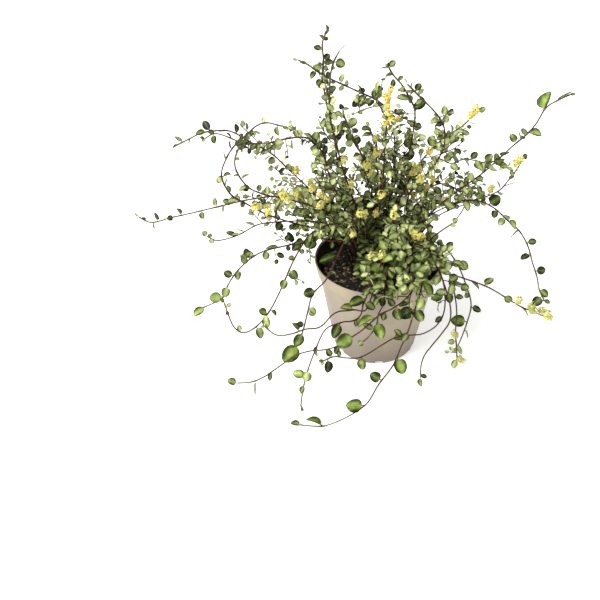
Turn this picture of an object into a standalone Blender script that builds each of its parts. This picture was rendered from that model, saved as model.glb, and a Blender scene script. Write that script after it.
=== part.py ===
"""A wire vine in its plastic nursery pot: a turned pot with a collar and drainage notches, a plug of
potting soil, and a leafy stem for each runner and shoot, standing in its own hole in the soil.

Meshes are in metres and everything else in millimetres. The origin is the centre of the pot's flat base,
+Z is up, and the front, which the routes are read from, is -Y."""

import math
import random

import bmesh
import bpy
import numpy as np
from mathutils import Matrix, Vector, noise
from mathutils.bvhtree import BVHTree
from mathutils.kdtree import KDTree

MM = 0.001
GAP = 0.3

# The pot
POT_HEIGHT = 90.0
RIM_RADIUS = 52.5
BASE_RADIUS = 36.5
WALL = 1.4
BASE_THICKNESS = 2.0
COLLAR_DEPTH = 13.0
COLLAR_STEP = 1.8
COLLAR_SLOPE = 1.2
FOOT_CHAMFER = 2.0
POT_SIDES = 36
NOTCHES = 6
NOTCH_WIDTH = 7.0
NOTCH_HEIGHT = 4.5
NOTCH_LENGTH = 7.0

# The soil
SOIL_LEVEL = 77.0
SOIL_RINGS = (0.4, 0.75)
SOIL_SIDES = 24
SOIL_DOME = 2.5
SOIL_RELIEF = 1.6
SOIL_LUMP = 9.0
SOIL_TOP = SOIL_LEVEL + SOIL_DOME + SOIL_RELIEF + 3.0

# Where the stems stand in the soil
CROWN_CENTRE = (9.0, 4.0)
CROWN_RADIUS = 32.0
CROWN_SPOTS = 62
ROOT_DEPTH = 8.0
GOLDEN_ANGLE = math.pi * (3 - math.sqrt(5))

# The front view that the routes are read in: its axis passes this far right of the rim's centre and above it
VIEW_ELEVATION = math.radians(38.5)
VIEW_ROLL = math.radians(-3.0)
VIEW_DISTANCE = 500.0
VIEW_AXIS = (-64.6, -36.7)

# Stems
STEM_STEP = 3.5
STEM_APART = 5.0
STEM_SIDES = 3
STEM_THICK = 1.05
STEM_THIN = 0.62
STEM_LIFT = 0.16
STRAIGHT_FOOT = 3
CLEAR_ROUNDS = 120
POT_CLEARANCE = 3.0
FLOOR_CLEARANCE = 1.6
RING_SAG = 1.2
SETBACK = 0.35

# Leaves: the outline is in shares of a leaf's length and width
BLADE_THICKNESS = 0.6
BLADE_OUTLINE = ((0.2, 0.07), (0.44, 0.48), (0.8, 0.42))
BLADE_FOLD = 0.22
LEAF_WIDTH = 0.7
MARGIN = 0.35
LIGHT = Vector((-0.1, -0.5, 1.0))
TURNS_TRIED = ((0, 1), (2.6, 1), (1.3, 0.95), (-1.3, 0.95), (3.6, 0.85), (0.6, 0.75), (-2.0, 0.7))

# Flower spikes
SPIKE_LENGTH = 7.5
SPIKE_RADIUS = 0.6
SPIKE_LEAN = math.radians(55)
FLORET_RADIUS = 1.6
FLORETS = (0.55, 0.9)

# Each runner's leaf length, gap between leaves, and route in the front view: millimetres right of the rim's
# centre, millimetres above it, and millimetres behind the pot's axis
RUNNERS = {
    "tall_left": (8.5, 10, [
        (-20, 30, 14), (-32, 60, 20), (-35, 92, 25), (-42, 124, 28), (-46, 150, 28), (-45, 163, 27),
        (-46, 177, 25), (-42, 189, 22)]),
    "tall_second": (7.5, 9, [
        (-14, 30, 0), (-23, 55, -8), (-30, 76, -14), (-35, 97, -20), (-39, 113, -24), (-40, 127, -27),
        (-39, 152, -32), (-36, 163, -34), (-31, 172, -35)]),
    "high_tendril": (6.0, 14, [
        (12, 60, 22), (14, 101, 16), (7, 123, 10), (-1, 130, 5), (-16, 137, -2), (-27, 142, -10),
        (-46, 151, -18), (-59, 160, -20), (-68, 164, -20)]),
    "left_high": (8.0, 9, [
        (-34, 34, 10), (-60, 59, 20), (-75, 73, 26), (-88, 85, 31), (-106, 95, 36), (-123, 104, 40),
        (-138, 104, 42), (-148, 102, 43), (-156, 98, 43), (-170, 91, 42)]),
    "left_upper": (8.0, 10, [
        (-28, 40, -2), (-40, 67, -5), (-46, 86, -8), (-58, 98, -8), (-74, 98, -6), (-92, 94, -2),
        (-114, 95, 3), (-127, 100, 5), (-136, 102, 5), (-145, 97, 4)]),
    "left_loop": (7.0, 16, [
        (-46, 21, -12), (-65, 26, -14), (-93, 35, -18), (-112, 45, -22), (-121, 50, -24), (-128, 60, -25),
        (-130, 69, -24), (-127, 79, -22), (-120, 91, -20), (-109, 101, -18), (-100, 109, -16),
        (-92, 111, -14), (-83, 109, -12), (-74, 107, -12)]),
    "inner_loop": (7.0, 13, [
        (-38, 34, -3), (-56, 42, -4), (-74, 47, -5), (-93, 51, -6), (-106, 56, -7), (-113, 63, -8),
        (-118, 72, -9), (-119, 79, -9), (-115, 90, -8), (-108, 93, -8)]),
    "left_far": (8.0, 12, [
        (-44, 42, 14), (-65, 48, 22), (-81, 50, 28), (-107, 47, 34), (-133, 41, 38), (-158, 35, 40),
        (-172, 32, 40), (-189, 28, 38), (-200, 33, 36)]),
    "left_yellow": (8.0, 11, [
        (-40, 26, 3), (-58, 29, 4), (-87, 28, 5), (-100, 26, 5), (-113, 19, 4), (-123, 15, 3),
        (-135, 13, 2), (-143, 17, 1)]),
    "left_drop": (9.5, 11, [
        (-34, 14, -10), (-50, 15, -11), (-70, 10, -13), (-97, 3, -15), (-108, -4, -17), (-118, -14, -19),
        (-125, -25, -21), (-129, -35, -23), (-136, -39, -25), (-148, -44, -27)]),
    "left_hook": (9.0, 13, [
        (-30, 26, -18), (-46, 24, -24), (-56, 18, -28), (-64, 7, -33), (-71, -6, -38), (-82, -31, -46),
        (-90, -46, -51), (-98, -56, -54), (-104, -61, -56), (-112, -64, -57), (-119, -60, -56),
        (-125, -47, -53), (-128, -38, -50)]),
    "front_left": (8.5, 12, [
        (-14, 32, -16), (-21, 26, -26), (-29, 9, -40), (-36, -6, -52), (-43, -20, -60), (-54, -32, -66),
        (-58, -46, -70), (-62, -62, -73), (-66, -74, -75)]),
    "low_left": (12.5, 15, [
        (26, -6, -40), (30, -26, -56), (22, -37, -66), (12, -44, -73), (2, -49, -78), (-6, -56, -81),
        (-13, -62, -83), (-22, -68, -84), (-31, -74, -85), (-43, -78, -86), (-55, -79, -87), (-66, -82, -88),
        (-76, -88, -89), (-86, -95, -90), (-95, -101, -92), (-105, -105, -94), (-118, -106, -96)]),
    "left_leaves": (11.0, 12, [
        (2, -6, -42), (-3, -28, -56), (-9, -42, -64), (-19, -48, -71), (-31, -49, -76), (-40, -54, -79),
        (-50, -60, -80), (-60, -61, -80), (-72, -65, -80), (-84, -66, -79), (-95, -58, -77)]),
    "across_front": (10.5, 13, [
        (36, 14, -20), (50, -8, -30), (56, -30, -37), (55, -48, -44), (49, -58, -51), (37, -65, -60),
        (28, -66, -65), (15, -68, -69), (4, -74, -72), (-7, -81, -75), (-16, -85, -77), (-26, -85, -79),
        (-37, -84, -81), (-46, -88, -83)]),
    "front_to_floor": (12.0, 17, [
        (34, 2, -34), (38, -16, -50), (36, -29, -60), (31, -45, -69), (25, -64, -77), (20, -75, -82),
        (13, -91, -89), (1, -107, -98), (-9, -123, -103), (-25, -134, -104), (-42, -141, -104),
        (-54, -143, -103), (-65, -142, -101)]),
    "front_low": (10.0, 12, [
        (-4, -8, -46), (-8, -30, -60), (-13, -44, -67), (-21, -51, -73), (-33, -53, -79), (-44, -62, -86),
        (-52, -79, -93), (-57, -92, -97), (-61, -106, -99), (-63, -117, -99), (-64, -126, -98)]),
    "front_short": (10.0, 9, [
        (8, -8, -40), (6, -28, -56), (5, -40, -63), (1, -48, -66), (-1, -58, -68), (-8, -68, -69),
        (-13, -72, -69)]),
    "right_short": (9.0, 12, [
        (30, 16, 0), (47, 12, -3), (57, 6, -7), (66, -6, -11), (73, -22, -15), (78, -41, -18),
        (75, -54, -21), (70, -68, -25), (66, -77, -30)]),
    "right_yellow": (8.5, 12, [
        (34, 12, -14), (47, -2, -20), (58, -14, -25), (70, -18, -30), (92, -26, -37), (109, -36, -42),
        (119, -42, -44), (133, -48, -45), (144, -52, -44)]),
    "right_arch": (8.5, 14, [
        (34, 24, 6), (44, 34, 8), (60, 42, 9), (71, 46, 9), (84, 46, 8), (97, 40, 6), (108, 30, 4),
        (118, 21, 2), (125, 9, 0), (129, -5, -3), (133, -18, -6), (135, -29, -9), (139, -37, -12)]),
    "right_reach": (10.0, 15, [
        (24, 16, -6), (38, 30, -6), (60, 49, -4), (90, 71, 0), (112, 91, 3), (125, 102, 5), (132, 110, 6),
        (141, 124, 6), (151, 130, 7), (162, 135, 8)]),
    "right_pink": (7.5, 10, [
        (28, 30, 20), (46, 40, 28), (62, 43, 34), (78, 46, 39), (92, 50, 42), (102, 55, 44), (109, 63, 44),
        (116, 72, 43), (122, 82, 42)]),
    "right_bushy": (8.5, 7, [
        (18, 45, 12), (30, 70, 18), (46, 90, 23), (58, 100, 25), (69, 107, 26), (77, 114, 26),
        (85, 121, 25)]),
    "top_left_arch": (8.0, 8, [
        (14, 45, 24), (24, 78, 24), (30, 105, 23), (31, 122, 22), (27, 131, 20), (20, 143, 18),
        (13, 151, 16), (9, 158, 14)]),
    "top_right_arch": (8.0, 10, [
        (26, 50, -4), (46, 74, -10), (55, 90, -15), (56, 104, -20), (53, 113, -24), (46, 122, -27),
        (39, 129, -28), (31, 137, -28), (24, 144, -27)]),
    "upper_middle": (8.0, 9, [
        (-5, 55, 8), (-6, 70, 8), (-10, 78, 8), (-14, 86, 8), (-18, 92, 8), (-21, 98, 7), (-23, 104, 6),
        (-25, 110, 5), (-28, 117, 4), (-29, 123, 3)]),
    "centre_left": (7.5, 9, [
        (0, 58, 18), (0, 72, 18), (-1, 84, 17), (-1, 95, 16), (-5, 102, 15), (-7, 108, 14)]),
    "centre_upright": (8.5, 6, [
        (2, 40, -8), (5, 70, -13), (6, 92, -15), (8, 113, -17), (10, 130, -18), (12, 141, -18)]),
    "right_tail": (9.0, 11, [
        (38, 8, -28), (50, -10, -40), (57, -28, -50), (61, -45, -57), (60, -55, -63), (54, -64, -69),
        (45, -75, -74), (39, -83, -77), (36, -93, -79), (36, -102, -80)]),
    "right_tail_yellow": (8.0, 8, [
        (42, 14, -10), (56, -6, -18), (63, -26, -26), (66, -46, -32), (65, -64, -37), (66, -78, -41),
        (66, -89, -43)]),
}

# The shoots of the crown fill this oval of the front view, and leave its lower left, where soil shows, bare
SHOOTS = 22
SHOOT_CENTRE = (2.0, 38.0)
SHOOT_REACH = (80.0, 60.0)
SHOOT_DEPTHS = (-42.0, 62.0)
SHOOT_FRONT = (-36.0, -50.0)
SHOOT_LEAF = 7.5
SHOOT_GAP = 9.0
SHOOT_EVERY = 3
RUNNER_EVERY = 8
BACK_EVERY = 4
BARE_SOIL = (-12.0, 14.0)

# Each back runner's leaf length, gap between leaves, and route, all of it behind the crown and the pot
BACK_RUNNERS = {
    "back_right": (9.0, 11, [
        (30, 30, 120), (58, 52, 126), (80, 64, 112), (92, 78, 88), (88, 92, 60)]),
    "back_hanging": (8.5, 12, [
        (18, 36, 126), (34, 66, 132), (52, 90, 112), (58, 104, 80), (50, 112, 52), (58, 110, 28)]),
    "back_middle": (9.0, 11, [
        (4, 38, 130), (-4, 70, 140), (4, 98, 128), (2, 122, 104), (14, 134, 82)]),
    "back_floor": (9.5, 13, [
        (-6, 42, 116), (-16, 58, 100), (-21, 68, 62), (-14, 76, 22), (2, 86, 4), (26, 92, 1.6),
        (44, 88, 1.6)]),
    "back_curl": (8.5, 11, [
        (-16, 36, 124), (-40, 64, 128), (-56, 88, 104), (-52, 106, 74), (-64, 114, 46), (-56, 122, 34)]),
    "back_left": (8.5, 11, [
        (-30, 28, 124), (-58, 50, 126), (-78, 68, 108), (-86, 84, 80), (-78, 92, 58)]),
}

# The places in the front view that the flower spikes are nearest to
FLOWER_SPOTS = [(-72, 63), (-52, 58), (-76, 45), (-88, 38), (10, 126), (10, 108), (29, 67), (47, 54), (9, 38),
                (-10, 32), (30, 23), (93, 60), (122, 81), (136, -48), (63, -83)]

# The larger leaves that the front view shows: millimetres right of the rim's centre and above it, the leaf's
# length, and the share of its breadth that is turned to the view
SEEN_LEAVES = [
    (-73, -82, 20, 1), (141, 132, 18, 0.8), (41, 11, 18, 0.6), (-30, -72, 17, 1), (-11, -55, 17, 0.5),
    (-42, -2, 17, 0.7), (-20, -124, 16, 1), (-54, -137, 15, 0.3), (-55, -141, 15, 0.3), (-35, -63, 15, 0.8),
    (-15, -42, 15, 0.8), (2, -64, 15, 0.8), (23, -48, 15, 0.9), (20, -94, 15, 1), (156, 133, 15, 0.3),
    (43, -29, 15, 0.9), (-67, -71, 14, 1), (66, -54, 14, 1), (0, -23, 14, 1), (-91, 7, 12, 0.7),
    (-137, -35, 12, 1), (-149, -46, 12, 0.8), (-93, -53, 12, 1), (-66, -98, 12, 1), (-41, -94, 12, 1),
    (-102, -111, 12, 0.5), (-26, -43, 12, 0.8), (17, -49, 12, 0.8), (35, -50, 12, 1), (72, -9, 12, 1),
    (47, -35, 12, 1), (134, 102, 12, 0.8), (100, 48, 12, 1), (-1, 136, 12, 1), (-14, 128, 12, 1),
    (20, 132, 12, 0.9), (36, 127, 12, 0.9), (21, 110, 12, 0.5), (26, 95, 12, 0.8), (28, 86, 12, 0.8),
    (36, -1, 12, 1), (35, -11, 12, 0.8), (40, -20, 12, 1), (10, -34, 12, 0.9), (-144, 110, 11, 1),
    (-58, -31, 11, 1), (-73, 17, 11, 0.8), (-69, 8, 11, 1), (-98, -65, 11, 0.8), (-5, -42, 11, 1),
    (-13, -93, 11, 0.9), (-5, -99, 11, 1), (62, -24, 11, 1), (132, -39, 11, 0.9), (114, 25, 11, 0.8),
    (-47, 35, 11, 1), (45, 97, 11, 1), (21, -28, 11, 1), (-1, -10, 11, 1), (-101, 102, 10, 0.7),
    (-126, -32, 10, 1), (-79, -26, 10, 1), (-68, -18, 10, 1), (-51, -82, 10, 0.6), (-59, -102, 10, 1),
    (15, -68, 10, 0.7), (22, -69, 10, 1), (56, -6, 10, 1), (83, -25, 10, 0.7), (93, -21, 10, 0.7),
    (60, -37, 10, 1), (140, -32, 10, 1), (125, -48, 10, 0.7), (60, 42, 10, 1), (112, 61, 10, 0.2),
    (-29, 160, 10, 1), (-41, 118, 10, 1), (-34, 99, 10, 0.6), (-85, 41, 10, 0.5), (-60, 32, 10, 0.7),
    (-41, 37, 10, 0.8), (-20, 112, 10, 1), (-17, 99, 10, 1), (15, 86, 10, 0.8), (49, -20, 10, 1),
    (25, -20, 10, 1), (-18, -10, 10, 1), (-150, 102, 9, 0.8), (-125, 67, 9, 0.5), (-108, 27, 9, 0.7),
    (-107, 2, 9, 1), (-128, -14, 9, 1), (-116, -17, 9, 0.9), (-96, -46, 9, 0.8), (-69, -57, 9, 0.8),
    (-58, 9, 9, 1), (-123, 19, 9, 0.5), (10, -37, 9, 1), (111, -37, 9, 1), (84, -45, 9, 0.8),
    (69, -79, 9, 0.7), (64, -92, 9, 0.7), (130, 12, 9, 1), (122, -1, 9, 0.8), (138, -12, 9, 1),
    (112, 100, 9, 1), (-40, 162, 9, 0.8), (-49, 111, 9, 0.7), (-83, 103, 9, 0.7), (-60, 101, 9, 0.9),
    (-82, 24, 9, 1), (35, 143, 9, 0.9), (26, 137, 9, 0.8), (28, -28, 9, 1), (-130, 104, 8, 0.7),
    (-136, 95, 8, 0.9), (-169, 100, 8, 0.4), (-136, 47, 8, 0.6), (-185, 35, 8, 0.4), (-107, 69, 8, 0.4),
    (-113, 56, 8, 0.4), (-115, 2, 8, 0.9), (-93, 0, 8, 1), (-51, -48, 8, 0.9), (-63, -112, 8, 0.9),
    (-90, -102, 8, 0.6), (-41, -80, 8, 1), (-35, -80, 8, 0.9), (5, -50, 8, 1), (-17, -57, 8, 0.9),
    (16, -63, 8, 0.9), (36, -108, 8, 0.4), (49, -54, 8, 1), (65, -7, 8, 0.9), (74, -65, 8, 0.4),
    (110, 72, 8, 0.7), (119, 73, 8, 0.6), (103, 28, 8, 0.9), (-54, 175, 8, 1), (-54, 151, 8, 1),
    (-30, 148, 8, 0.7), (13, 161, 8, 0.9)]

# How far along a leaf its middle is, how far a joint may miss a seen leaf's place, on how many stems and with
# what nudges it is tried, how much its face is tilted, and how many of its stem's steps stay free beside it
LEAF_MIDDLE = 0.58
SEEN_MISS = 5.5
SEEN_STEMS = 3
NUDGES = (0, 0.15, 0.15, 0.3, 0.3, 0.3, 0.45, 0.45, 0.45)
SEEN_TILT = 0.35
KEPT_OFF = 3

RIM_CENTRE = Vector((0, 0, POT_HEIGHT))
VIEW_RIGHT = Vector((math.cos(VIEW_ROLL), math.sin(VIEW_ROLL) * math.sin(VIEW_ELEVATION),
                     math.sin(VIEW_ROLL) * math.cos(VIEW_ELEVATION)))
VIEW_UP = Vector((-math.sin(VIEW_ROLL), math.cos(VIEW_ROLL) * math.sin(VIEW_ELEVATION),
                  math.cos(VIEW_ROLL) * math.cos(VIEW_ELEVATION)))
VIEW_NEAR = Vector((0, -math.cos(VIEW_ELEVATION), math.sin(VIEW_ELEVATION)))
VIEW_EYE = RIM_CENTRE + VIEW_NEAR * VIEW_DISTANCE + VIEW_RIGHT * VIEW_AXIS[0] + VIEW_UP * VIEW_AXIS[1]


def seen(across, up, depth):
    """The point at that depth that the front view shows across and up from the rim's centre."""
    ray = RIM_CENTRE + VIEW_RIGHT * across + VIEW_UP * up - VIEW_EYE
    return np.array(VIEW_EYE + ray * (depth - VIEW_EYE.y) / ray.y)


def shown(points):
    """How far across and up from the rim's centre the front view shows each point."""
    rays = np.array(points) - np.array(VIEW_EYE)
    rays = rays * (VIEW_DISTANCE / -(rays @ np.array(VIEW_NEAR)))[:, None]
    return np.stack([rays @ np.array(VIEW_RIGHT), rays @ np.array(VIEW_UP)], axis=1) + VIEW_AXIS


def view_scale(points):
    """How many millimetres at each point the front view shows as one at the rim's centre."""
    return (np.array(VIEW_EYE) - points) @ np.array(VIEW_NEAR) / VIEW_DISTANCE


def pot_radius(height):
    """The pot's outer radius at a height, without its collar."""
    return BASE_RADIUS + (RIM_RADIUS - COLLAR_STEP - BASE_RADIUS) * height / POT_HEIGHT


def pot_profile():
    """The pot's section as radius and height, from the middle of its base round the rim to its floor's."""
    step = POT_HEIGHT - COLLAR_DEPTH
    return [(0, 0), (BASE_RADIUS - FOOT_CHAMFER, 0), (pot_radius(FOOT_CHAMFER), FOOT_CHAMFER),
            (pot_radius(step), step), (pot_radius(step) + COLLAR_STEP, step + COLLAR_SLOPE),
            (RIM_RADIUS, POT_HEIGHT), (RIM_RADIUS - WALL, POT_HEIGHT),
            (pot_radius(step) + COLLAR_STEP - WALL, step + COLLAR_SLOPE + WALL / 2),
            (pot_radius(step) - WALL, step - WALL / 2),
            (pot_radius(BASE_THICKNESS) - WALL, BASE_THICKNESS), (0, BASE_THICKNESS)]


def in_crown(point):
    """Whether the front view shows a point in the oval of the crown."""
    return np.linalg.norm((shown([point])[0] - SHOOT_CENTRE) / SHOOT_REACH) < 1


def shoot_routes():
    """The crown's shoots, spread over the oval as seeds are in a sunflower, at well mixed depths."""
    routes = {}
    for index in range(SHOOTS):
        share = math.sqrt((index + 0.5) / SHOOTS)
        across = SHOOT_CENTRE[0] + SHOOT_REACH[0] * share * math.cos(index * GOLDEN_ANGLE)
        up = SHOOT_CENTRE[1] + SHOOT_REACH[1] * share * math.sin(index * GOLDEN_ANGLE)
        nearest, farthest = SHOOT_DEPTHS
        if up < BARE_SOIL[1]:
            farthest, nearest = SHOOT_FRONT
        depth = nearest + (farthest - nearest) * (index * 0.618034 % 1)
        if across > BARE_SOIL[0] or up > BARE_SOIL[1]:
            routes[f"shoot_{len(routes) + 1:02d}"] = (SHOOT_LEAF, SHOOT_GAP, [seen(across, up, depth)])
    return routes


def stem_routes():
    """Every stem's leaf length, gap between leaves, and route."""
    routes = {name: (leaf, gap, [seen(*point) for point in route])
              for name, (leaf, gap, route) in RUNNERS.items()}
    back = {name: (leaf, gap, [np.array(point) for point in route])
            for name, (leaf, gap, route) in BACK_RUNNERS.items()}
    return routes | shoot_routes() | back


def root_spots(aims):
    """A spot on the soil for each stem: of an even spread, the free one nearest to where the stem heads."""
    spots = []
    for index in range(CROWN_SPOTS):
        radius = CROWN_RADIUS * math.sqrt((index + 0.5) / CROWN_SPOTS)
        spots.append(Vector((CROWN_CENTRE[0] + radius * math.cos(index * GOLDEN_ANGLE),
                             CROWN_CENTRE[1] + radius * math.sin(index * GOLDEN_ANGLE))))
    chosen = []
    for aim in aims:
        nearest = min(spots, key=lambda spot: (spot - Vector(aim[:2]) * 0.4).length)
        spots.remove(nearest)
        chosen.append(nearest)
    return chosen


def smooth_line(points):
    """A smooth curve through the points, read at even steps."""
    ends = [2 * points[0] - points[1], *points, 2 * points[-1] - points[-2]]
    fine = []
    for before, start, end, after in zip(ends, ends[1:], ends[2:], ends[3:]):
        pairs = ((before, start), (start, end), (end, after))
        gaps = [np.linalg.norm(far - near) ** 0.5 for near, far in pairs]
        leave = (start - before) / gaps[0] - (end - before) / (gaps[0] + gaps[1]) + (end - start) / gaps[1]
        arrive = (end - start) / gaps[1] - (after - start) / (gaps[1] + gaps[2]) + (after - end) / gaps[2]
        for share in np.linspace(0, 1, 12, endpoint=False):
            bulge = leave * (share**3 - 2 * share**2 + share) + arrive * (share**3 - share**2)
            fine.append(start * (2 * share**3 - 3 * share**2 + 1) + end * (3 * share**2 - 2 * share**3)
                        + gaps[1] * bulge)
    fine = np.array(fine + [points[-1]])
    along = np.concatenate([[0], np.cumsum(np.linalg.norm(np.diff(fine, axis=0), axis=1))])
    reads = np.linspace(0, along[-1], max(4, round(along[-1] / STEM_STEP)))
    return np.stack([np.interp(reads, along, fine[:, axis]) for axis in range(3)], axis=1)


def stem_line(spot, route):
    """A stem's line, from the foot of its hole straight up out of the soil and then along its route."""
    foot = np.array([spot.x, spot.y, SOIL_LEVEL - ROOT_DEPTH])
    surface = np.array([spot.x, spot.y, SOIL_TOP])
    reach = route[0] - surface
    rise = surface + reach * 0.35 + [0, 0, STEM_LIFT * np.linalg.norm(reach)]
    return np.concatenate([[foot, (foot + surface) / 2], smooth_line([surface, rise, *route])])


def clear_of_pot(points):
    """The points, each moved the shortest way clear of the pot's wall, the soil and the floor."""
    radius, height = np.hypot(points[:, 0], points[:, 1]), points[:, 2]
    wall = np.where(height > POT_HEIGHT - COLLAR_DEPTH - POT_CLEARANCE, RIM_RADIUS, pot_radius(height))
    outward = wall + POT_CLEARANCE - radius
    inward = radius - (wall - COLLAR_STEP - WALL - POT_CLEARANCE)
    ceiling = np.where(inward > 0, POT_HEIGHT + POT_CLEARANCE, SOIL_TOP)
    upward = ceiling - height
    stuck = (outward > 0) & (upward > 0)
    goes_in = stuck & (inward > 0) & (height > SOIL_TOP) & (inward < outward) & (inward < upward)
    goes_out = stuck & ~goes_in & (outward < upward)
    shift = np.where(goes_out, outward, 0) - np.where(goes_in, inward, 0)
    flat = points[:, :2] * (1 + shift / np.maximum(radius, 1))[:, None]
    height = np.where(stuck & ~goes_in & ~goes_out, ceiling, height)
    return np.column_stack([flat, np.maximum(height, FLOOR_CLEARANCE)])


def close_pairs(points, owner):
    """The pairs of points, on different stems, that are nearer than the stems may come."""
    tree = KDTree(len(points))
    for index, point in enumerate(points):
        tree.insert(point, index)
    tree.balance()
    pairs = [(index, other) for index, point in enumerate(points)
             for _, other, _ in tree.find_range(point, STEM_APART)
             if other > index and owner[other] != owner[index]]
    return np.array(pairs, int).reshape(-1, 2).T


def bend_clear(lines):
    """The stems' lines, bent apart where they would touch, with their feet held where they stand."""
    owner = np.concatenate([np.full(len(line), index) for index, line in enumerate(lines)])
    rank = np.concatenate([np.arange(len(line)) for line in lines])
    middle = np.flatnonzero((rank > 0) & (np.roll(rank, -1) > rank))
    loose = np.clip((rank - STRAIGHT_FOOT + 1) / 3, 0, 1)[:, None]
    points = np.concatenate(lines)
    for _ in range(CLEAR_ROUNDS):
        first, second = close_pairs(points, owner)
        if not len(first):
            break
        way = points[first] - points[second] + 1e-6
        distance = np.linalg.norm(way, axis=1, keepdims=True)
        way *= (STEM_APART - distance) / distance
        push = np.zeros_like(points)
        np.add.at(push, first, way)
        np.add.at(push, second, -way)
        push[middle] = (push[middle - 1] + push[middle] * 2 + push[middle + 1]) / 4
        points = np.where(loose > 0, clear_of_pot(points + push * loose), points)
        along = points[middle + 1] - points[middle - 1]
        along /= np.linalg.norm(along, axis=1, keepdims=True)
        slide = (points[middle - 1] + points[middle + 1]) / 2 - points[middle]
        points[middle] += along * (slide * along).sum(axis=1, keepdims=True) * loose[middle] / 2
    return np.split(points, np.flatnonzero(rank == 0)[1:])


def directions(line):
    """The unit direction at each point of a line."""
    steps = np.diff(line, axis=0)
    steps /= np.linalg.norm(steps, axis=1, keepdims=True)
    ways = np.vstack([steps[:1], steps[:-1] + steps[1:], steps[-1:]])
    return ways / np.linalg.norm(ways, axis=1, keepdims=True)


def bends(line, first, last):
    """The points between two of a line where it strays from the straight way between those kept."""
    if last - first < 2:
        return []
    chord = (line[last] - line[first]) / np.linalg.norm(line[last] - line[first])
    offsets = line[first + 1:last] - line[first]
    strays = np.linalg.norm(offsets - np.outer(offsets @ chord, chord), axis=1)
    if strays.max() < RING_SAG:
        return []
    worst = first + 1 + int(strays.argmax())
    return bends(line, first, worst) + [worst] + bends(line, worst, last)


def tube(line, radii, sides):
    """A tube's points and faces along a line, with flat ends."""
    points, faces = [], []
    aside = Vector(directions(line)[0]).orthogonal()
    for centre, way, radius in zip(line, directions(line), radii):
        aside = (aside - Vector(way) * aside.dot(way)).normalized()
        across = Vector(way).cross(aside)
        for angle in np.arange(sides) * math.tau / sides:
            points.append(Vector(centre) + (aside * math.cos(angle) + across * math.sin(angle)) * radius)
    for start in range(0, len(points) - sides, sides):
        faces += [(start + corner, start + (corner + 1) % sides, start + sides + (corner + 1) % sides,
                   start + sides + corner) for corner in range(sides)]
    return points, faces + [tuple(range(sides))[::-1], tuple(range(len(points) - sides, len(points)))]


def blade(length, thicker=0.0):
    """A leaf's points and faces, lying along +X from its root and folded up along its midrib."""
    width = length * LEAF_WIDTH + thicker * 2
    length += thicker
    half = [(along * length, aside * width) for along, aside in BLADE_OUTLINE]
    outline = [(0, 0), *half, (length, 0), *[(along, -aside) for along, aside in reversed(half)]]
    lift = BLADE_THICKNESS / 2 + thicker
    upper = [Vector((x, y, BLADE_FOLD * abs(y) + lift)) for x, y in outline]
    lower = [point - Vector((0, 0, lift * 2)) for point in upper]
    count, tip = len(outline), len(half) + 1
    fans = [(tip, index + 1, index) for index in range(tip - 1)]
    fans += [(tip, (index + 1) % count, index) for index in range(tip + 1, count)]
    faces = fans + [tuple(corner + count for corner in face[::-1]) for face in fans]
    faces += [(index, (index + 1) % count, (index + 1) % count + count, index + count)
              for index in range(count)]
    return upper + lower, faces


def octahedron(centre, radius):
    """A floret's points and faces."""
    points = [Vector(centre) + Vector(way) * radius
              for way in ((1, 0, 0), (0, 1, 0), (-1, 0, 0), (0, -1, 0), (0, 0, 1), (0, 0, -1))]
    return points, [(corner, (corner + 1) % 4, 4) for corner in range(4)] + [
        ((corner + 1) % 4, corner, 5) for corner in range(4)]


def straying(rng, most):
    """A random small way."""
    return Vector([rng.uniform(-most, most) for _ in range(3)])


def lying(point, along, face):
    """Where a leaf lies: rooted at a point, along a way, with its face as near to another as that allows."""
    side = face.cross(along).normalized()
    place = Matrix((along, side, along.cross(side))).transposed().to_4x4()
    place.translation = point
    return place


def placing(point, way, turn, lean, tilt):
    """Where a leaf lies: at a turn about the stem, leaning along it, with its face to the light."""
    way = Vector(way)
    aside = way.cross(Vector((0.1, 0.2, 1))).normalized()
    aside.rotate(Matrix.Rotation(turn, 3, way))
    return lying(point, aside * math.sin(lean) + way * math.cos(lean), LIGHT.normalized() + tilt)


def placing_seen(point, spot, length, share, nudge, tilt):
    """Where a leaf lies whose middle the front view shows at a spot, with that share of its breadth."""
    across, up = (spot - shown([point])[0]) * view_scale([point])[0]
    flat = VIEW_RIGHT * across + VIEW_UP * up
    nearer = math.sqrt(max(0, (length * LEAF_MIDDLE)**2 - flat.length_squared))
    along = ((flat + VIEW_NEAR * nearer).normalized() + nudge).normalized()
    toward = (VIEW_NEAR - along * VIEW_NEAR.dot(along)).normalized()
    edge = along.cross(toward)
    if edge.dot(LIGHT) < 0:
        edge.negate()
    return lying(point, along, toward * share + edge * math.sqrt(1 - share**2) + tilt)


class Stem:
    """A stem's line and the points of it that its form needs, with its leaves and flower spikes."""

    def __init__(self, name, leaf, gap, line):
        self.name = name
        self.leaf = leaf
        self.stride = max(1, round(gap / STEM_STEP))
        self.line = line
        self.kept = [0, STRAIGHT_FOOT - 1, *bends(line, STRAIGHT_FOOT - 1, len(line) - 1), len(line) - 1]
        self.ways = directions(line)
        self.leaves = []
        self.spikes = []

    def root(self, joint):
        """Where what grows at a joint starts, just before it on the line through the kept points."""
        kept = self.line[self.kept]
        return Vector([np.interp(joint - SETBACK, self.kept, kept[:, axis]) for axis in range(3)])

    def tube(self, thicker, sides):
        """The tube along the kept points of the stem's line."""
        radii = STEM_THICK + (STEM_THIN - STEM_THICK) * np.array(self.kept) / self.kept[-1] + thicker
        return tube(self.line[self.kept], radii, sides)


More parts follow.
